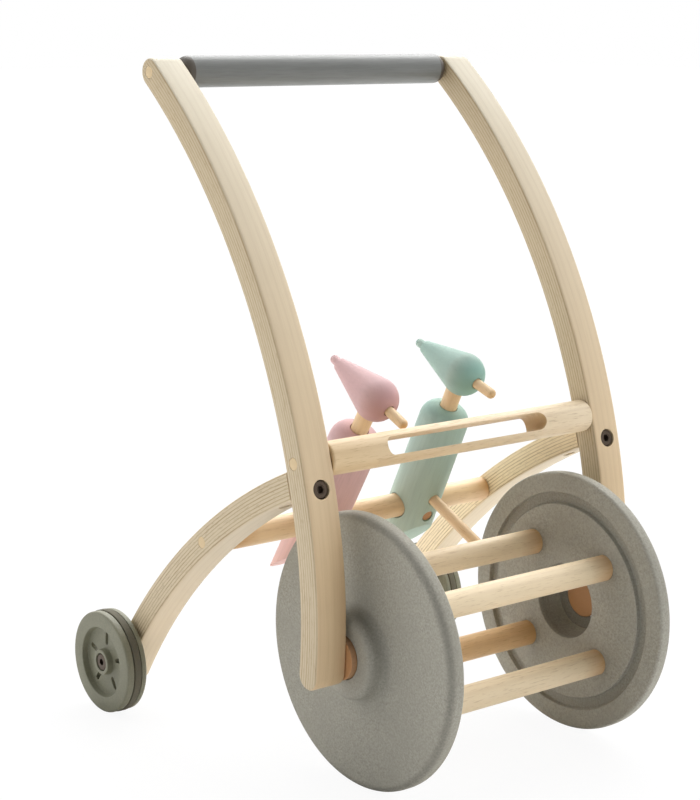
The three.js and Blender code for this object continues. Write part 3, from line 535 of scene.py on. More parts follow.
def finishes():
    """Record slot and material of each finish, made once."""
    if not finishes.made:
        tone = bpy.context.scene.push_toy_colours
        dowel_end, shaft_end, grip_end = 0.0862, 0.1135, 0.1132
        warm_pith, pale_line = (0.02, 0.03, 0), shade(tone.ply_line, 1.12)
        finishes.made.update(
            # Painted shade on the right upright: darker low down, and darker still along its inner edge next to
            # the wheel
            right_upright=("plywood", plywood(
                "Birch plywood, warm painted_edge_shade", shade(tone.veneer_low, 0.95), tone.veneer,
                shade(tone.ply_edge_low, 0.92), tone.ply_edge, pale_line, (-0.128, -0.114))),
            left_upright=("plywood", plywood(
                "Birch plywood, clear lacquered", tone.veneer_low, tone.veneer, tone.ply_edge_low,
                tone.ply_edge, pale_line)),
            right_leg=("plywood", plywood(
                "Birch plywood, dark glue lines", tone.leg_veneer, tone.veneer, tone.ply_edge_low,
                tone.ply_edge, tone.ply_line)),
            # The left leg's plies are a lighter copy of the others: painted light on the far leg's inner side
            left_leg=("plywood", plywood(
                "Birch plywood, painted_light plies", tone.leg_veneer, tone.veneer, shade(tone.ply_edge_low, 1.5),
                shade(tone.ply_edge, 1.5), shade(tone.ply_line, 1.4))),
            beech=("beech", solid_wood(
                "Beech, sanded and lacquered", tone.beech, 0.14, 0.48, far=tone.beech_far)),
            plug=("beech", solid_wood("Birch plug, side grain", tone.plug, end_tone=1.0)),
            dowel=("beech", solid_wood(
                "Pale beech bar, burnished ends", tone.dowel, pith=(0.025, 0.02, 0),
                toast=(dowel_end, 0.02, tone.toast))),
            red_dowel=("beech", solid_wood(
                "Steamed beech bar, burnished ends", tone.red_dowel, pith=(0.015, 0.02, 0),
                toast=(dowel_end, 0.024, tone.toast))),
            crossbar=("peach_wood", solid_wood(
                "Red beech bar, burnished ends", tone.peach, pith=warm_pith,
                toast=(shaft_end, 0.02, tone.toast))),
            peach=("peach_wood", solid_wood(
                "Red beech, sanded and lacquered", tone.peach, 0.07, pith=warm_pith)),
            salmon=("salmon_wood", solid_wood(
                "Steamed beech", tone.salmon, 0.12, 0.3, (0.01, 0.0, 0), 0.55, end_tone=1.3)),
            gray=("grey_paint", speckled("Gray-stained fibreboard, matt", tone.gray_stain)),
            # The handlebar's dark domed ends: darker end grain, with painted shade where they meet the uprights
            grip=("grey_grip", stained_wood(
                "Gray-stained beech, matt", tone.gray_grip, tone.gray_end_and_shade, 0.14, (grip_end, 0.0068),
                roughness=0.36)),
            plastic=("grey_plastic", speckled(
                "Polypropylene, moulded", tone.gray_plastic, 1.0, 0.17, 0.04, 0.55)),
            rubber=("rubber", speckled("Rubber, moulded", tone.rubber, 0.9, 0.1, 0.08, 0.85)),
            # The birds' tails take their lighter low colour: painted light from below
            pink=("pink_paint", stained_wood(
                "Pink-stained beech, matt", tone.pink, tone.pink_end, low=tone.pink_lit_low)),
            mint=("mint_paint", stained_wood(
                "Mint-stained beech, matt", tone.mint, tone.mint_end, low=tone.mint_lit_low)),
            bronze=("dark_bronze", coated_metal("Steel, bronze coated", tone.bronze)),
            steel=("steel", coated_metal("Steel, zinc plated", tone.zinc, 1.0, 0.26)),
        )
    return finishes.made


finishes.made = {}


class FrameLines:
    """Arcs and places of the frame in the side view."""

    def __init__(self):
        sizes = bpy.context.scene.push_toy_boards
        self.rear, rise = middle("left_rear_wheel"), sizes.bow_rise
        self.lower = middle("left_front_wheel") + Vector((-sqrt(sizes.lower_bend ** 2 - rise ** 2), 0, rise))
        self.lower.y = 0
        self.upper = polar(self.lower, sizes.lower_bend - sizes.upper_bend, sizes.bend_change)
        self.foot_angle = -asin((sizes.foot_drop + rise) / sizes.lower_bend)
        self.foot = polar(self.lower, sizes.lower_bend, self.foot_angle)
        self.top = polar(self.upper, sizes.upper_bend, sizes.handle_lean)
        self.joint_lean = asin((sizes.leg_joint - self.upper.z) / sizes.upper_bend)
        self.joint = polar(self.upper, sizes.upper_bend - sizes.upright_thickness / 2, self.joint_lean)
        end = Vector((self.rear.x, 0, self.rear.z))
        chord = end - self.joint
        left = Vector((-chord.z, 0, chord.x)).normalized()
        self.leg = (self.joint + end) / 2 + left * sqrt(sizes.leg_bend ** 2 - chord.length_squared / 4)
        self.leg_top = atan2(self.joint.z - self.leg.z, self.joint.x - self.leg.x)
        self.leg_end = atan2(end.z - self.leg.z, end.x - self.leg.x) + sizes.leg_overhang / sizes.leg_bend
        self.leg_foot = polar(self.leg, sizes.leg_bend, self.leg_end)
        self.bolt_lean = asin((sizes.bolt_height - self.upper.z) / sizes.upper_bend)
        self.bolt = polar(self.upper, sizes.upper_bend, self.bolt_lean)

    def bolt_frame(self, y):
        """Frame of a frame bolt whose Z points out of the upright's front."""
        return Matrix.Translation(self.bolt + Vector((0, y, 0))) @ Matrix.Rotation(
            pi / 2 - self.bolt_lean, 4, 'Y')


def section(bm, centre, radius, angle, middle_y, width, thickness, rounding, part="whole"):
    """Rounded rectangle across a board, its flat side along Y: the whole, or its front or back half."""
    half_width, half = width / 2, thickness / 2
    steps = 4
    front = [(0, -half_width)]
    for side in (-1, 1):
        order = range(steps + 1) if side < 0 else range(steps, -1, -1)
        front += [(half - rounding + rounding * sin(pi / 2 * k / steps),
                   side * (half_width - rounding + rounding * cos(pi / 2 * k / steps))) for k in order]
    front.append((0, half_width))
    back = [(-depth, place) for depth, place in reversed(front)]
    outline = {"whole": front + back[1:-1], "front": front, "back": back}[part]
    axis = polar(Vector((0, 0, 0)), 1, angle)
    start = polar(centre, radius, angle)
    verts = [bm.verts.new(start + axis * depth + Vector((0, middle_y + place, 0)))
             for depth, place in outline]
    pairs = list(zip(verts, verts[1:])) + ([(verts[-1], verts[0])] if part == "whole" else [])
    return verts + [bm.edges.new(pair) for pair in pairs]


def sweep(bm, geom, centre, angle, steps):
    """Spins a section about Y through a centre and returns its last ring."""
    return bmesh.ops.spin(bm, geom=geom, cent=centre, axis=(0, -1, 0), angle=angle, steps=steps)["geom_last"]


def plug_hole(place, side, face):
    """Cutter of the ring around a plug in a side face."""
    ring_gap, ring_depth = 0.00014, 0.0015
    return drill(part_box("left_beam_plug")[1].x - middle("left_beam_plug").x + ring_gap,
                 face - ring_depth, face + OVERRUN, side_frame(place, side))


class PUSHTOY_OT_uprights(bpy.types.Operator):
    """Two bent plywood uprights with rounded ends, plug holes and the bolt's counterbore"""
    bl_idname = "push_toy.uprights"
    bl_label = "Uprights"

    def execute(self, context):
        sizes, lines = context.scene.push_toy_boards, FrameLines()
        inner, outer = inner_face("left_upright"), outer_face("left_upright")
        change, lean = sizes.bend_change, sizes.handle_lean
        lower_run = sizes.lower_bend * (change - lines.foot_angle)
        counterbore, bore_depth = 0.0062, 0.0051

        def grain(point):
            flat = Vector((point.x, 0, point.z))
            to_upper, to_lower = flat - lines.upper, flat - lines.lower
            angle = atan2(to_upper.z, to_upper.x)
            if angle > lean:
                offset, radial = flat - lines.top, polar(Vector(), 1, lean)
                depth = offset.dot(radial)
                run = (lower_run + sizes.upper_bend * (lean - change)
                       + offset.dot(Vector((-radial.z, 0, radial.x))))
            elif angle > change:
                depth, run = to_upper.length - sizes.upper_bend, lower_run + sizes.upper_bend * (angle - change)
            else:
                angle = atan2(to_lower.z, to_lower.x)
                depth, run = to_lower.length - sizes.lower_bend, sizes.lower_bend * (angle - lines.foot_angle)
            return (point.y, depth * BOARD_PLIES * PLY / sizes.upright_thickness, run)

        for side, name in SIDES:
            bm = bmesh.new()
            across = (side * (inner + outer) / 2, outer - inner, sizes.upright_thickness, sizes.rounding)
            ring = section(bm, lines.lower, sizes.lower_bend, lines.foot_angle, *across)
            ring = sweep(bm, ring, lines.lower, change - lines.foot_angle, 24)
            sweep(bm, ring, lines.upper, lean - change, 60)
            cap = section(bm, lines.upper, sizes.upper_bend, lean, *across, part="front")
            sweep(bm, cap, lines.top, pi, 24)
            foot = section(bm, lines.lower, sizes.lower_bend, lines.foot_angle, *across, part="back")
            sweep(bm, foot, lines.foot, pi, 24)
            close_up(bm)
            cutters = [
                plug_hole(middle("handlebar"), side, outer),
                plug_hole(middle("tapping_beam"), side, outer),
                drill(counterbore, sizes.upright_thickness / 2 - bore_depth, sizes.upright_thickness,
                      lines.bolt_frame(across[0])),
            ]
            piece(bm, f"{name}_bent_upright", "frame", f"{name}_upright", f"{name}_upright",
                  cutters=cutters, grain=grain)
        return {'FINISHED'}


class PUSHTOY_OT_rear_legs(bpy.types.Operator):
    """Two bent plywood legs, butted against the uprights, with the barrel nuts' holes"""
    bl_idname = "push_toy.rear_legs"
    bl_label = "Rear legs"

    def execute(self, context):
        sizes, lines = context.scene.push_toy_boards, FrameLines()
        inner, outer = inner_face("left_rear_leg"), outer_face("left_rear_leg")
        radius = sizes.leg_bend
        nut_hole, nut_below, nut_above = 0.0043, 0.0185, 0.0053

        def grain(point):
            flat = Vector((point.x, 0, point.z)) - lines.leg
            angle = atan2(flat.z, flat.x)
            depth = flat.length - radius
            if angle > lines.leg_end:
                offset = Vector((point.x, 0, point.z)) - lines.leg_foot
                depth = offset.dot(polar(Vector(), 1, lines.leg_end))
            return (point.y, depth * BOARD_PLIES * PLY / sizes.leg_thickness, radius * (lines.leg_end - angle))

        for side, name in SIDES:
            bm = bmesh.new()
            across = (side * (inner + outer) / 2, outer - inner, sizes.leg_thickness, sizes.rounding)
            start = lines.leg_top - sizes.upright_thickness / 2 / radius
            ring = section(bm, lines.leg, radius, start, *across)
            sweep(bm, ring, lines.leg, lines.leg_end - start, 60)
            foot = section(bm, lines.leg, radius, lines.leg_end, *across, part="front")
            sweep(bm, foot, lines.leg_foot, pi, 24)
            close_up(bm)
            normal = polar(Vector(), 1, lines.joint_lean)
            cut_off(bm, lines.joint - normal * JOINT_GAP, normal)
            close_up(bm)
            nut = Matrix.Translation(middle(f"{name}_barrel_nut"))
            cutters = [
                plug_hole(middle("rear_crossbar"), side, outer),
                drill(nut_hole, -nut_below, nut_above, nut @ Matrix.Rotation(-lines.bolt_lean, 4, 'Y')),
            ]
            piece(bm, f"{name}_bent_leg", "frame", f"{name}_rear_leg", f"{name}_leg",
                  cutters=cutters, grain=grain)
        return {'FINISHED'}


class PUSHTOY_OT_bars(bpy.types.Operator):
    """Handlebar with domed ends, tapping beam with its long slot, and the grooved rear crossbar"""
    bl_idname = "push_toy.bars"
    bl_label = "Bars"

    def execute(self, context):
        bar_steps = 96
        radius, end = round_size("handlebar")
        dome = 0.0068
        across_bar(rod(radius, -end, end, dome, dome, bar_steps), "gray_handlebar", "handlebar", "grip")

        radius, end = round_size("tapping_beam")
        beam_rounding, half, slot_end, slot_depth = 0.0016, 0.00605, 0.0693, 0.04
        straight = slot_end - half
        tilt = Matrix.Rotation(radians(-24), 4, 'Z')
        slot = bmesh.new()
        bmesh.ops.create_cube(slot, size=1,
                              matrix=tilt @ Matrix.Diagonal((slot_depth, 2 * half, 2 * straight, 1)))
        ends = [drill(half, -slot_depth / 2, slot_depth / 2,
                      tilt @ Matrix.Translation((0, 0, side * straight)) @ ALONG_X, 48) for side in (-1, 1)]
        across_bar(rod(radius, -end, end, beam_rounding, beam_rounding, bar_steps),
                   "slotted_beam", "tapping_beam", "beech", cutters=[slot] + ends)

        radius, end = round_size("rear_crossbar")
        shaft_rounding, groove_half, groove_floor = 0.0014, 0.0046, 0.007
        grooves = [(depth, middle(f"{bird}_bird_retaining_pin").y + place, 0) for bird in ("pink", "mint")
                   for place, depth in ((-groove_half, radius), (-groove_half, groove_floor),
                                        (groove_half, groove_floor), (groove_half, radius))]
        shaft = turned([(0, -end, 0), (radius, -end, shaft_rounding), *grooves,
                        (radius, end, shaft_rounding), (0, end, 0)])
        across_bar(shaft, "bird_crossbar", "rear_crossbar", "crossbar")
        return {'FINISHED'}


class PUSHTOY_OT_plugs(bpy.types.Operator):
    """Six wood plugs over the screws of the bars"""
    bl_idname = "push_toy.plugs"
    bl_label = "Wood plugs"

    def execute(self, context):
        sunk = 0.00005
        for side, name in SIDES:
            for number, held in enumerate(("handlebar", "beam", "crossbar")):
                low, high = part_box(f"left_{held}_plug")
                plug = rod((high.x - low.x) / 2, low.y, high.y - sunk, 0, EASED, 48)
                piece(plug, f"{name}_{held}_wood_plug", "frame", f"{name}_{held}_plug", "plug",
                      side_frame(middle(f"left_{held}_plug"), side), seed=number * 0.11 + side)
        return {'FINISHED'}


class PUSHTOY_OT_bolts(bpy.types.Operator):
    """Frame bolts and rear axle bolts with hex sockets"""
    bl_idname = "push_toy.bolts"
    bl_label = "Bolts"

    def execute(self, context):
        lines, boards = FrameLines(), context.scene.push_toy_boards
        head, head_depth, head_rounding, shank_end = 0.0058, 0.004, 0.0012, -0.0372
        dimple, dimple_floor, dimple_depth, sunk = 0.0032, 0.0028, 0.0005, 0.0008
        top = boards.upright_thickness / 2 - sunk
        foot = top - head_depth
        y = (inner_face("left_upright") + outer_face("left_upright")) / 2
        cap, cap_depth, cap_rounding = 0.006, 0.0039, 0.0008
        tip, web = inner_face("left_rear_axle_bolt"), outer_face("left_rear_axle_bolt")
        for side, name in SIDES:
            frame_bolt = turned([
                (0, shank_end, 0), (SHANK_RADIUS, shank_end, SHANK_EASED), (SHANK_RADIUS, foot, 0),
                (head, foot, EASED), (head, top, head_rounding), (dimple, top, 0.0002),
                (dimple_floor, top - dimple_depth, 0), (0, top - dimple_depth, 0)], steps=64)
            piece(frame_bolt, f"{name}_hex_bolt", "frame", f"{name}_frame_bolt", "bronze",
                  lines.bolt_frame(side * y), [hex_socket(top)])
            wheel_bolt = turned([
                (0, tip, 0), (SHANK_RADIUS, tip, SHANK_EASED), (SHANK_RADIUS, web - cap_depth, 0),
                (cap, web - cap_depth, EASED), (cap, web, cap_rounding), (0, web, 0)], steps=64)
            piece(wheel_bolt, f"{name}_wheel_bolt", "frame", f"{name}_rear_axle_bolt", "bronze",
                  side_frame(lines.rear, side), [hex_socket(web)])
        return {'FINISHED'}


class PUSHTOY_OT_stub_axles(bpy.types.Operator):
    """Stub axles of the drum, on the inside of the uprights, each with its tenon"""
    bl_idname = "push_toy.stub_axles"
    bl_label = "Stub axles"

    def execute(self, context):
        shoulder = inner_face("left_upright") - JOINT_GAP
        start = inner_face("left_stub_axle")
        radius, end = round_size("left_stub_axle")
        tenon, end_rounding, tenon_rounding = 0.006, 0.0008, 0.0004
        for side, name in SIDES:
            stub = turned([(0, start, 0), (radius, start, end_rounding), (radius, shoulder, EASED),
                           (tenon, shoulder, 0), (tenon, end, tenon_rounding), (0, end, 0)])
            piece(stub, f"{name}_axle_stub", "frame", f"{name}_stub_axle", "salmon",
                  side_frame(middle("left_front_wheel"), side), seed=side * 0.2)
        return {'FINISHED'}


class PUSHTOY_OT_front_wheels(bpy.types.Operator):
    """Large turned wheels: rounded rim, flat face and boss, with a groove and a deep recess in the back"""
    bl_idname = "push_toy.front_wheels"
    bl_label = "Front wheels"

    def execute(self, context):
        sizes = context.scene.push_toy_wheels
        back = inner_face("left_front_wheel")
        radius, boss = round_size("left_front_wheel")
        running_gap, socket_radius, socket_depth = 0.0004, 0.00895, 0.0055
        bore = round_size("left_stub_axle")[0] + running_gap
        face, floor = back + sizes.tread_width, boss - sizes.hub_web
        groove_in = sizes.groove_radius - sizes.groove_width / 2
        groove_out = sizes.groove_radius + sizes.groove_width / 2
        groove_floor = back + sizes.groove_depth
        lip, mouth_depth, flare, groove_rounding, groove_lip = 0.0048, 0.005, 0.004, 0.0008, 0.0006
        profile = [
            (sizes.recess_mouth, back, 0.0008), (groove_in, back, groove_lip),
            (groove_in, groove_floor, groove_rounding), (groove_out, groove_floor, groove_rounding),
            (groove_out, back, groove_lip), (radius, back, 0.002), (radius, face, sizes.tread_rounding),
            (sizes.boss_foot, face, sizes.boss_fillet), (sizes.boss_lip, boss, lip),
            (bore, boss, 0.0005), (bore, floor, 0.0004), (sizes.recess_floor, floor, 0.0015),
            (sizes.recess_mouth, back + mouth_depth, flare),
        ]

        def painted_shade(point):
            """How dark the shade painted on each point is: groove, rim curve, foot of the boss, recess."""
            reach, depth = hypot(point.x, point.y), point.z - back
            margin = 0.0002
            in_groove = groove_in - 2 * margin < reach < groove_out + 2 * margin
            if in_groove and depth < sizes.groove_depth + margin:
                return 0.2 * depth / sizes.groove_depth
            over_rim = reach - (radius - sizes.tread_rounding)
            over_face = depth - (sizes.tread_width - sizes.tread_rounding)
            if over_rim > 0 and over_face > 0:
                return 0.68 * sin(2 * atan2(over_rim, over_face)) ** 2
            foot = abs(reach - sizes.boss_foot) / 0.007
            if foot < 1 and depth > sizes.tread_width - margin:
                return 0.6 * cos(foot * pi / 2) ** 2
            wall = sizes.recess_mouth + 0.0007 - max(0, depth - mouth_depth) * 0.25
            return min(1, depth / 0.008) if reach < wall and depth < floor - back + margin else 0

        hub = middle("left_front_wheel")
        offsets = [middle(f"drum_dowel_{number}") - hub for number in (1, 2, 3, 4)]
        for side, name in SIDES:
            sockets = [drill(socket_radius, back - OVERRUN, back + socket_depth,
                             Matrix.Translation((offset.x, -side * offset.z, 0))) for offset in offsets]
            # The front wheels get painted shade in the groove, over the rim's curve, round the boss and in the
            # recess
            piece(turned(profile, True, 192), f"{name}_drum_wheel", "drum", f"{name}_front_wheel", "gray",
                  side_frame(hub, side), sockets, painted_shade=painted_shade)
        return {'FINISHED'}


class PUSHTOY_OT_drum_dowels(bpy.types.Operator):
    """Four dowels that join the front wheels and lift the birds' pegs"""
    bl_idname = "push_toy.drum_dowels"
    bl_label = "Drum dowels"

    def execute(self, context):
        radius, rounding = 0.00875, 0.0006
        for number in (1, 2, 3, 4):
            end = outer_face(f"drum_dowel_{number}")
            across_bar(rod(radius, -end, end, rounding, rounding, 96), f"turned_dowel_{number}",
                       f"drum_dowel_{number}", "red_dowel" if number == 3 else "dowel", "drum",
                       number * 0.023)
        return {'FINISHED'}


class PUSHTOY_OT_rear_wheels(bpy.types.Operator):
    """Small moulded wheels with five slots in the web and a rubber ring in the tread"""
    bl_idname = "push_toy.rear_wheels"
    bl_label = "Rear wheels"

    def execute(self, context):
        sizes = context.scene.push_toy_wheels
        hub_back, face = inner_face("left_rear_wheel"), outer_face("left_rear_wheel")
        rim_width, shell_inner, bolt_bore, cap_pocket = 0.0156, 0.027, 0.0034, 0.0064
        rim_back, web = face - rim_width, face - sizes.web_setback
        web_back = web - sizes.web_thickness
        ring_back, ring_front = inner_face("left_rubber_ring"), outer_face("left_rubber_ring")
        outer = round_size("left_rubber_ring")[0]
        hub, rim = sizes.hub_radius, sizes.rim_radius
        channel_depth, channel_gap, ring_inner, ring_rounding = 0.0029, 0.0006, 0.0339, 0.0007
        channel, rim_rounding, draft = rim - channel_depth, 0.0015, 0.0006
        profile = [
            (bolt_bore, hub_back, 0), (hub, hub_back, 0.0004), (hub, web_back, 0.0008),
            (shell_inner, web_back, 0.001), (shell_inner, rim_back, 0.0005), (rim, rim_back, rim_rounding),
            (rim, ring_back - channel_gap, EASED), (channel, ring_back - channel_gap, 0),
            (channel, ring_front + channel_gap, 0), (rim, ring_front + channel_gap, EASED),
            (rim, face, rim_rounding), (sizes.rim_inner, face, 0.0008), (sizes.rim_inner - draft, web, 0.001),
            (hub + 0.0004, web, 0.0008), (hub, face, 0.0006),
            (cap_pocket, face, 0.0004), (cap_pocket, web, 0), (bolt_bore, web, 0),
        ]
        ring = [(ring_inner, ring_back, 0), (outer, ring_back, ring_rounding),
                (outer, ring_front, ring_rounding), (ring_inner, ring_front, 0)]
        half, slot_run = sizes.slot_width / 2, 0.009
        inner_end, outer_end = sizes.slot_inner + half, sizes.slot_outer - half
        slots_in_web, first_slot = 5, radians(15)
        for side, name in SIDES:
            slots = []
            for number in range(slots_in_web):
                spoke = Matrix.Rotation(-side * (first_slot + number * 2 * pi / slots_in_web), 4, 'Z')
                slots += [drill(half, web_back - OVERRUN, web + OVERRUN,
                                spoke @ Matrix.Translation((end, 0, 0)), 24) for end in (inner_end, outer_end)]
                box = bmesh.new()
                bmesh.ops.create_cube(box, size=1, matrix=spoke @ Matrix.Translation((
                    (inner_end + outer_end) / 2, 0, (web + web_back) / 2)) @ Matrix.Diagonal((
                        outer_end - inner_end, 2 * half, slot_run, 1)))
                slots.append(box)
            place = side_frame(middle("left_rear_wheel"), side)
            piece(turned(profile, True, 128), f"{name}_moulded_wheel", f"{name}_rear_wheel_body",
                  f"{name}_rear_wheel", "plastic", place, slots)
            piece(turned(ring, True, 128), f"{name}_tread_ring", f"{name}_rear_wheel_body",
                  f"{name}_rubber_ring", "rubber", place)
        return {'FINISHED'}


class PUSHTOY_OT_birds(bpy.types.Operator):
    """Two birds on the crossbar, each with body, neck, head, beak, peg and retaining pin"""
    bl_idname = "push_toy.birds"
    bl_label = "Birds"

    def execute(self, context):
        sizes = context.scene.push_toy_birds
        pivot = middle("rear_crossbar")
        for name, lean in (("pink", sizes.pink_lean), ("mint", sizes.mint_lean)):
            offset = middle(f"{name}_bird_retaining_pin").y
            place = Matrix.Translation((pivot.x, offset, pivot.z)) @ Matrix.Rotation(lean, 4, 'Y')
            self.body(name, place, sizes)
            self.head(name, place, sizes)
            self.dowels(name, place, sizes)
        return {'FINISHED'}

    def part(self, bm, bird, name, node, finish, place, cutters=(), seed=0.0):
        """Piece of one bird."""
        piece(bm, f"{bird}_bird_{name}", f"{bird}_bird", f"{bird}_bird_{node}", finish, place, cutters,
              seed=seed)

    def body(self, name, place, sizes):
        """Turned body with its slanting tail cut and its holes."""
        spare, taper, deeper = 0.003, 0.0067, SOCKET_DEPTH + JOINT_GAP
        foot, radius, top = sizes.tail_tip - spare, sizes.body_radius, sizes.body_top
        bm = turned([(0, foot, 0), (radius - taper * foot, foot, 0),
                     (radius - taper * top, top, sizes.shoulder), (0, top, 0)], steps=128)
        slope = Vector((sizes.tail_front - sizes.tail_tip, 0, -2 * radius)).normalized()
        cut_off(bm, (radius, 0, sizes.tail_front), slope)
        bmesh.ops.bevel(bm, geom=[edge for edge in bm.edges if edge.calc_face_angle(0) > radians(25)],
                        offset=0.0006, segments=3, profile=0.5, affect='EDGES', material=-1)
        close_up(bm)
        reach = radius + spare
        shaft_hole, pin_hole, peg_gap, neck_gap = 0.0092, 0.0045, 0.0005, 0.0006
        peg = Matrix.Translation((0, 0, sizes.peg_lift)) @ ALONG_X
        cutters = [
            drill(shaft_hole, -reach, reach, ACROSS),
            drill(pin_hole, 0, reach, ALONG_X),
            drill(sizes.peg_radius + peg_gap, -deeper, reach, peg),
            drill(sizes.neck_radius + neck_gap, top - 2 * SOCKET_DEPTH - JOINT_GAP, top + spare),
        ]
        self.part(bm, name, "trunk", "body", name, place, cutters, 0.4)

    def head(self, name, place, sizes):
        """Head turned as a ball that runs back into a cone with a crest knob, and its beak."""
        ball, end, length, crest = sizes.head_radius, sizes.cone_end, sizes.cone_length, sizes.crest_radius
        slope = asin(ball / hypot(length, end)) - atan(end / length)
        tip, steps, dome_share = length + sizes.crest_length, 28, 0.96
        arc = [(ball * cos(angle), ball * sin(angle), 0)
               for angle in (-slope + (pi / 2 + slope) * k / steps for k in range(steps + 1))]
        corners = [(0, -tip, 0), (crest, -tip, crest * dome_share), (crest, -length, 0.0004),
                   (end, -length, 0.0005), *arc[:-1], (0, ball, 0)]
        tilt = Matrix.Rotation(pi / 2 - sizes.head_tilt, 4, 'Y')
        set_on = place @ Matrix.Translation((sizes.head_forward, 0, sizes.head_lift)) @ tilt
        upright = tilt.inverted() @ Matrix.Translation((-sizes.head_forward, 0, 0))
        spare, beak_gap, neck_gap, neck_depth = 0.003, 0.0005, 0.0004, 0.0083
        cutters = [
            drill(sizes.beak_radius + beak_gap, ball - SOCKET_DEPTH - JOINT_GAP, ball + spare),
            drill(sizes.neck_radius + neck_gap, -ball - spare, neck_depth - ball, upright),
        ]
        self.part(turned(corners, steps=128), name, "crested_head", "head", name, set_on, cutters, 0.9)
        tip_share = 0.85
        beak = rod(sizes.beak_radius, ball - SOCKET_DEPTH, sizes.beak_reach, 0, sizes.beak_radius * tip_share)
        self.part(beak, name, "beak_dowel", "beak", "peach", set_on, seed=0.15)

    def dowels(self, name, place, sizes):
        """Neck, peg and retaining pin."""
        neck_in_head, tip_share, pin_radius, pin_start, pin_sunk = 0.008, 0.95, 0.004, 0.0073, 0.001
        neck = rod(sizes.neck_radius, sizes.body_top - 2 * SOCKET_DEPTH,
                   sizes.head_lift - sizes.head_radius + neck_in_head)
        self.part(neck, name, "neck_dowel", "neck", "peach", place, seed=0.55)
        peg = rod(sizes.peg_radius, -SOCKET_DEPTH, sizes.peg_reach, 0, sizes.peg_radius * tip_share)
        self.part(peg, name, "tail_peg", "peg", "peach",
                  place @ Matrix.Translation((0, 0, sizes.peg_lift)) @ ALONG_X, seed=0.25)
        pin = rod(pin_radius, pin_start, sizes.body_radius - pin_sunk, 0, EASED)
        self.part(pin, name, "lock_pin", "retaining_pin", "salmon", place @ ALONG_X, seed=0.35)


class PUSHTOY_OT_hidden_hardware(bpy.types.Operator):
    """Finishes of the screws, nuts, washers and inserts, which keep their CAD shapes"""
    bl_idname = "push_toy.hidden_hardware"
    bl_label = "Hidden hardware"

    def execute(self, context):
        for name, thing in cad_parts.items():
            for word, finish in (("_screw", "steel"), ("_washer", "steel"), ("_insert", "steel"),
                                 ("_nut", "bronze")):
                if name.endswith(word):
                    for place in thing.material_slots:
                        place.material = finishes()[finish][1]
        return {'FINISHED'}


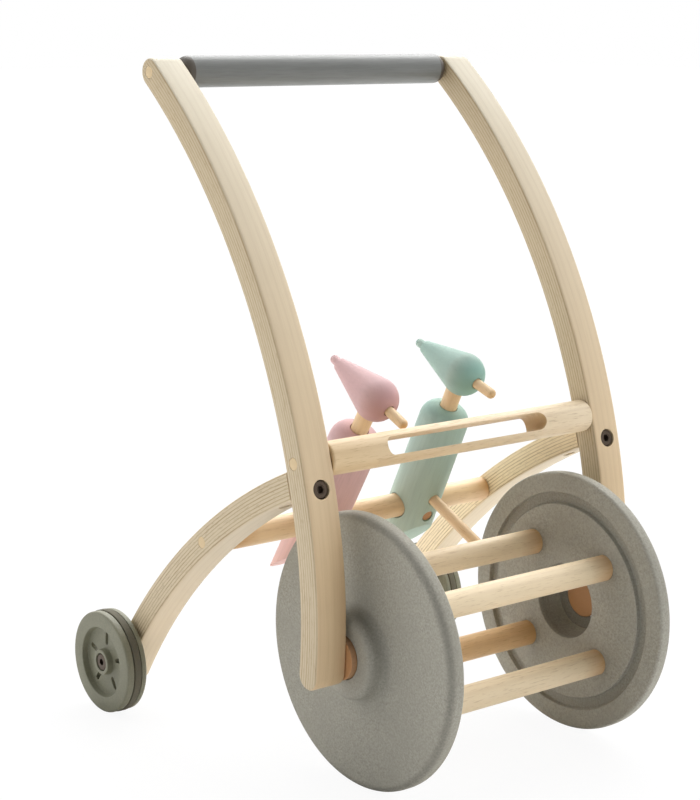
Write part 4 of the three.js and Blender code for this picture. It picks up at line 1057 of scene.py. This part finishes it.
class PUSHTOY_OT_stage(bpy.types.Operator):
    """Pale floor, soft studio lamps, white surroundings and the camera"""
    bl_idname = "push_toy.stage"
    bl_label = "Stage"

    def execute(self, context):
        scene = context.scene
        scene.view_settings.view_transform = 'Standard'
        self.surroundings(scene)
        self.floor()
        self.lamps(scene)
        self.camera(scene)
        return {'FINISHED'}

    def surroundings(self, scene):
        """White to the camera and in reflections. As light, soft all round, but dim in front of the toy."""
        world = scene.world or bpy.data.worlds.new("studio")
        scene.world = world
        world.use_nodes = True
        tree = world.node_tree
        tree.nodes.clear()
        path = add_node(tree, "LightPath")
        seen = path.outputs["Is Camera Ray"]
        for ray in ("Is Glossy Ray", "Is Transmission Ray"):
            seen = add_node(tree, "Math", {0: seen, 1: path.outputs[ray]}, operation='MAXIMUM').outputs[0]
        dim_side = (0.755, -0.623, 0.206)
        bearing = add_node(tree, "TexCoord").outputs["Generated"]
        towards = add_node(tree, "VectorMath", {0: bearing, 1: dim_side}, operation='DOT_PRODUCT')
        level = add_node(tree, "MapRange", {
            0: towards.outputs["Value"], 1: 0.05, 2: 0.7, 3: 1.12, 4: 0.0}, interpolation_type='SMOOTHSTEP')
        light = add_node(tree, "Background", {"Color": (1, 1, 1, 1), "Strength": level.outputs[0]})
        white = add_node(tree, "Background", {"Color": (1, 1, 1, 1), "Strength": 1.0})
        both = add_node(tree, "MixShader", {0: seen, 1: light.outputs[0], 2: white.outputs[0]})
        add_node(tree, "OutputWorld", {"Surface": both.outputs[0]})

    def floor(self):
        """Large pale floor that keeps a soft shadow."""
        half_width, below, white_share = 12, 0.0002, 0.93
        bm = bmesh.new()
        bmesh.ops.create_grid(bm, x_segments=1, y_segments=1, size=half_width)
        ground = as_object(bm, "floor")
        material, tree = new_material("Matt white paper")
        seen = add_node(tree, "LightPath").outputs["Is Camera Ray"]
        diffuse = add_node(tree, "BsdfDiffuse", {"Color": (0.9, 0.9, 0.9, 1)})
        glow = add_node(tree, "Emission", {"Color": (1, 1, 1, 1), "Strength": 1.0})
        share = add_node(tree, "Math", {0: seen, 1: white_share}, operation='MULTIPLY')
        both = add_node(tree, "MixShader", {0: share.outputs[0], 1: diffuse.outputs[0], 2: glow.outputs[0]})
        add_node(tree, "OutputMaterial", {"Surface": both.outputs[0]})
        ground.data.materials.append(material)
        ground.location.z = -below

    def lamps(self, scene):
        """Soft light from high behind the toy, weaker from its sides, by bearing from +X and rise."""
        softness = radians(50)
        for name, bearing, rise, strength in (
                ("back_light", 135, 45, 2.3), ("far_side_light", 90, 45, 0.78),
                ("near_side_light", 225, 45, 0.55), ("front_light", 45, 45, 0.32),
                ("low_front_light", 0, 12, 0.1)):
            lamp = bpy.data.lights.new(name, 'SUN')
            lamp.angle, lamp.energy = softness, strength
            thing = bpy.data.objects.new(name, lamp)
            aim = Matrix.Rotation(radians(bearing), 3, 'Z') @ Matrix.Rotation(radians(-rise), 3, 'Y')
            thing.rotation_euler = (aim @ Vector((1, 0, 0))).to_track_quat('Z', 'Y').to_euler()
            scene.collection.objects.link(thing)

    def camera(self, scene):
        """Camera of the photograph's view, from the toy's front right."""
        width, height = 700, 800
        focal_pixels, centre_across, centre_down = 1954.16, 378.24, 418.22
        ahead, right = Vector((-0.75490, 0.62261, -0.20612)), Vector((0.63416, 0.77310, 0.01271))
        in_front, to_the_side, above = 0.91664, -0.83866, 0.49022
        lens = bpy.data.cameras.new("camera")
        lens.sensor_fit, lens.sensor_width = 'HORIZONTAL', 36
        lens.lens = lens.sensor_width * focal_pixels / width
        lens.shift_x, lens.shift_y = (width / 2 - centre_across) / width, (centre_down - height / 2) / width
        lens.clip_start = 0.05
        thing = bpy.data.objects.new("camera", lens)
        spin = Matrix((right, right.cross(ahead), -ahead)).transposed().to_4x4()
        place = Matrix.Translation((in_front + middle("left_front_wheel").x, to_the_side, above))
        thing.matrix_world = place @ spin
        scene.collection.objects.link(thing)
        scene.camera = thing


class PUSHTOY_PT_panel(bpy.types.Panel):
    """Sizes, colours and steps of the push toy"""
    bl_idname = "PUSHTOY_PT_panel"
    bl_label = "Push Toy"
    bl_space_type = 'VIEW_3D'
    bl_region_type = 'UI'
    bl_category = "Push Toy"

    def draw(self, context):
        for operator in OPERATORS:
            self.layout.operator(operator.bl_idname)
        for name in GROUPS:
            box = self.layout.box()
            group = getattr(context.scene, name)
            for prop in group.bl_rna.properties.keys():
                if prop not in ("rna_type", "name"):
                    box.prop(group, prop)


GROUPS = {
    "push_toy_boards": PushToyBoardSizes,
    "push_toy_wheels": PushToyWheelSizes,
    "push_toy_birds": PushToyBirdSizes,
    "push_toy_colours": PushToyColours,
}
OPERATORS = (
    PUSHTOY_OT_stage,
    PUSHTOY_OT_uprights,
    PUSHTOY_OT_rear_legs,
    PUSHTOY_OT_bars,
    PUSHTOY_OT_plugs,
    PUSHTOY_OT_bolts,
    PUSHTOY_OT_stub_axles,
    PUSHTOY_OT_front_wheels,
    PUSHTOY_OT_drum_dowels,
    PUSHTOY_OT_rear_wheels,
    PUSHTOY_OT_birds,
    PUSHTOY_OT_hidden_hardware,
)
CLASSES = (*GROUPS.values(), *OPERATORS, PUSHTOY_PT_panel)


def register():
    """Registers the classes and the sizes and colours on the scene."""
    for kind in CLASSES:
        bpy.utils.register_class(kind)
    for name, kind in GROUPS.items():
        setattr(bpy.types.Scene, name, PointerProperty(type=kind))


def unregister():
    """Removes what register added."""
    for name in GROUPS:
        delattr(bpy.types.Scene, name)
    for kind in reversed(CLASSES):
        bpy.utils.unregister_class(kind)


def main():
    """Builds the toy step by step."""
    register()
    for operator in OPERATORS:
        group, step = operator.bl_idname.split(".")
        getattr(getattr(bpy.ops, group), step)()


if __name__ == "__main__":
    main()
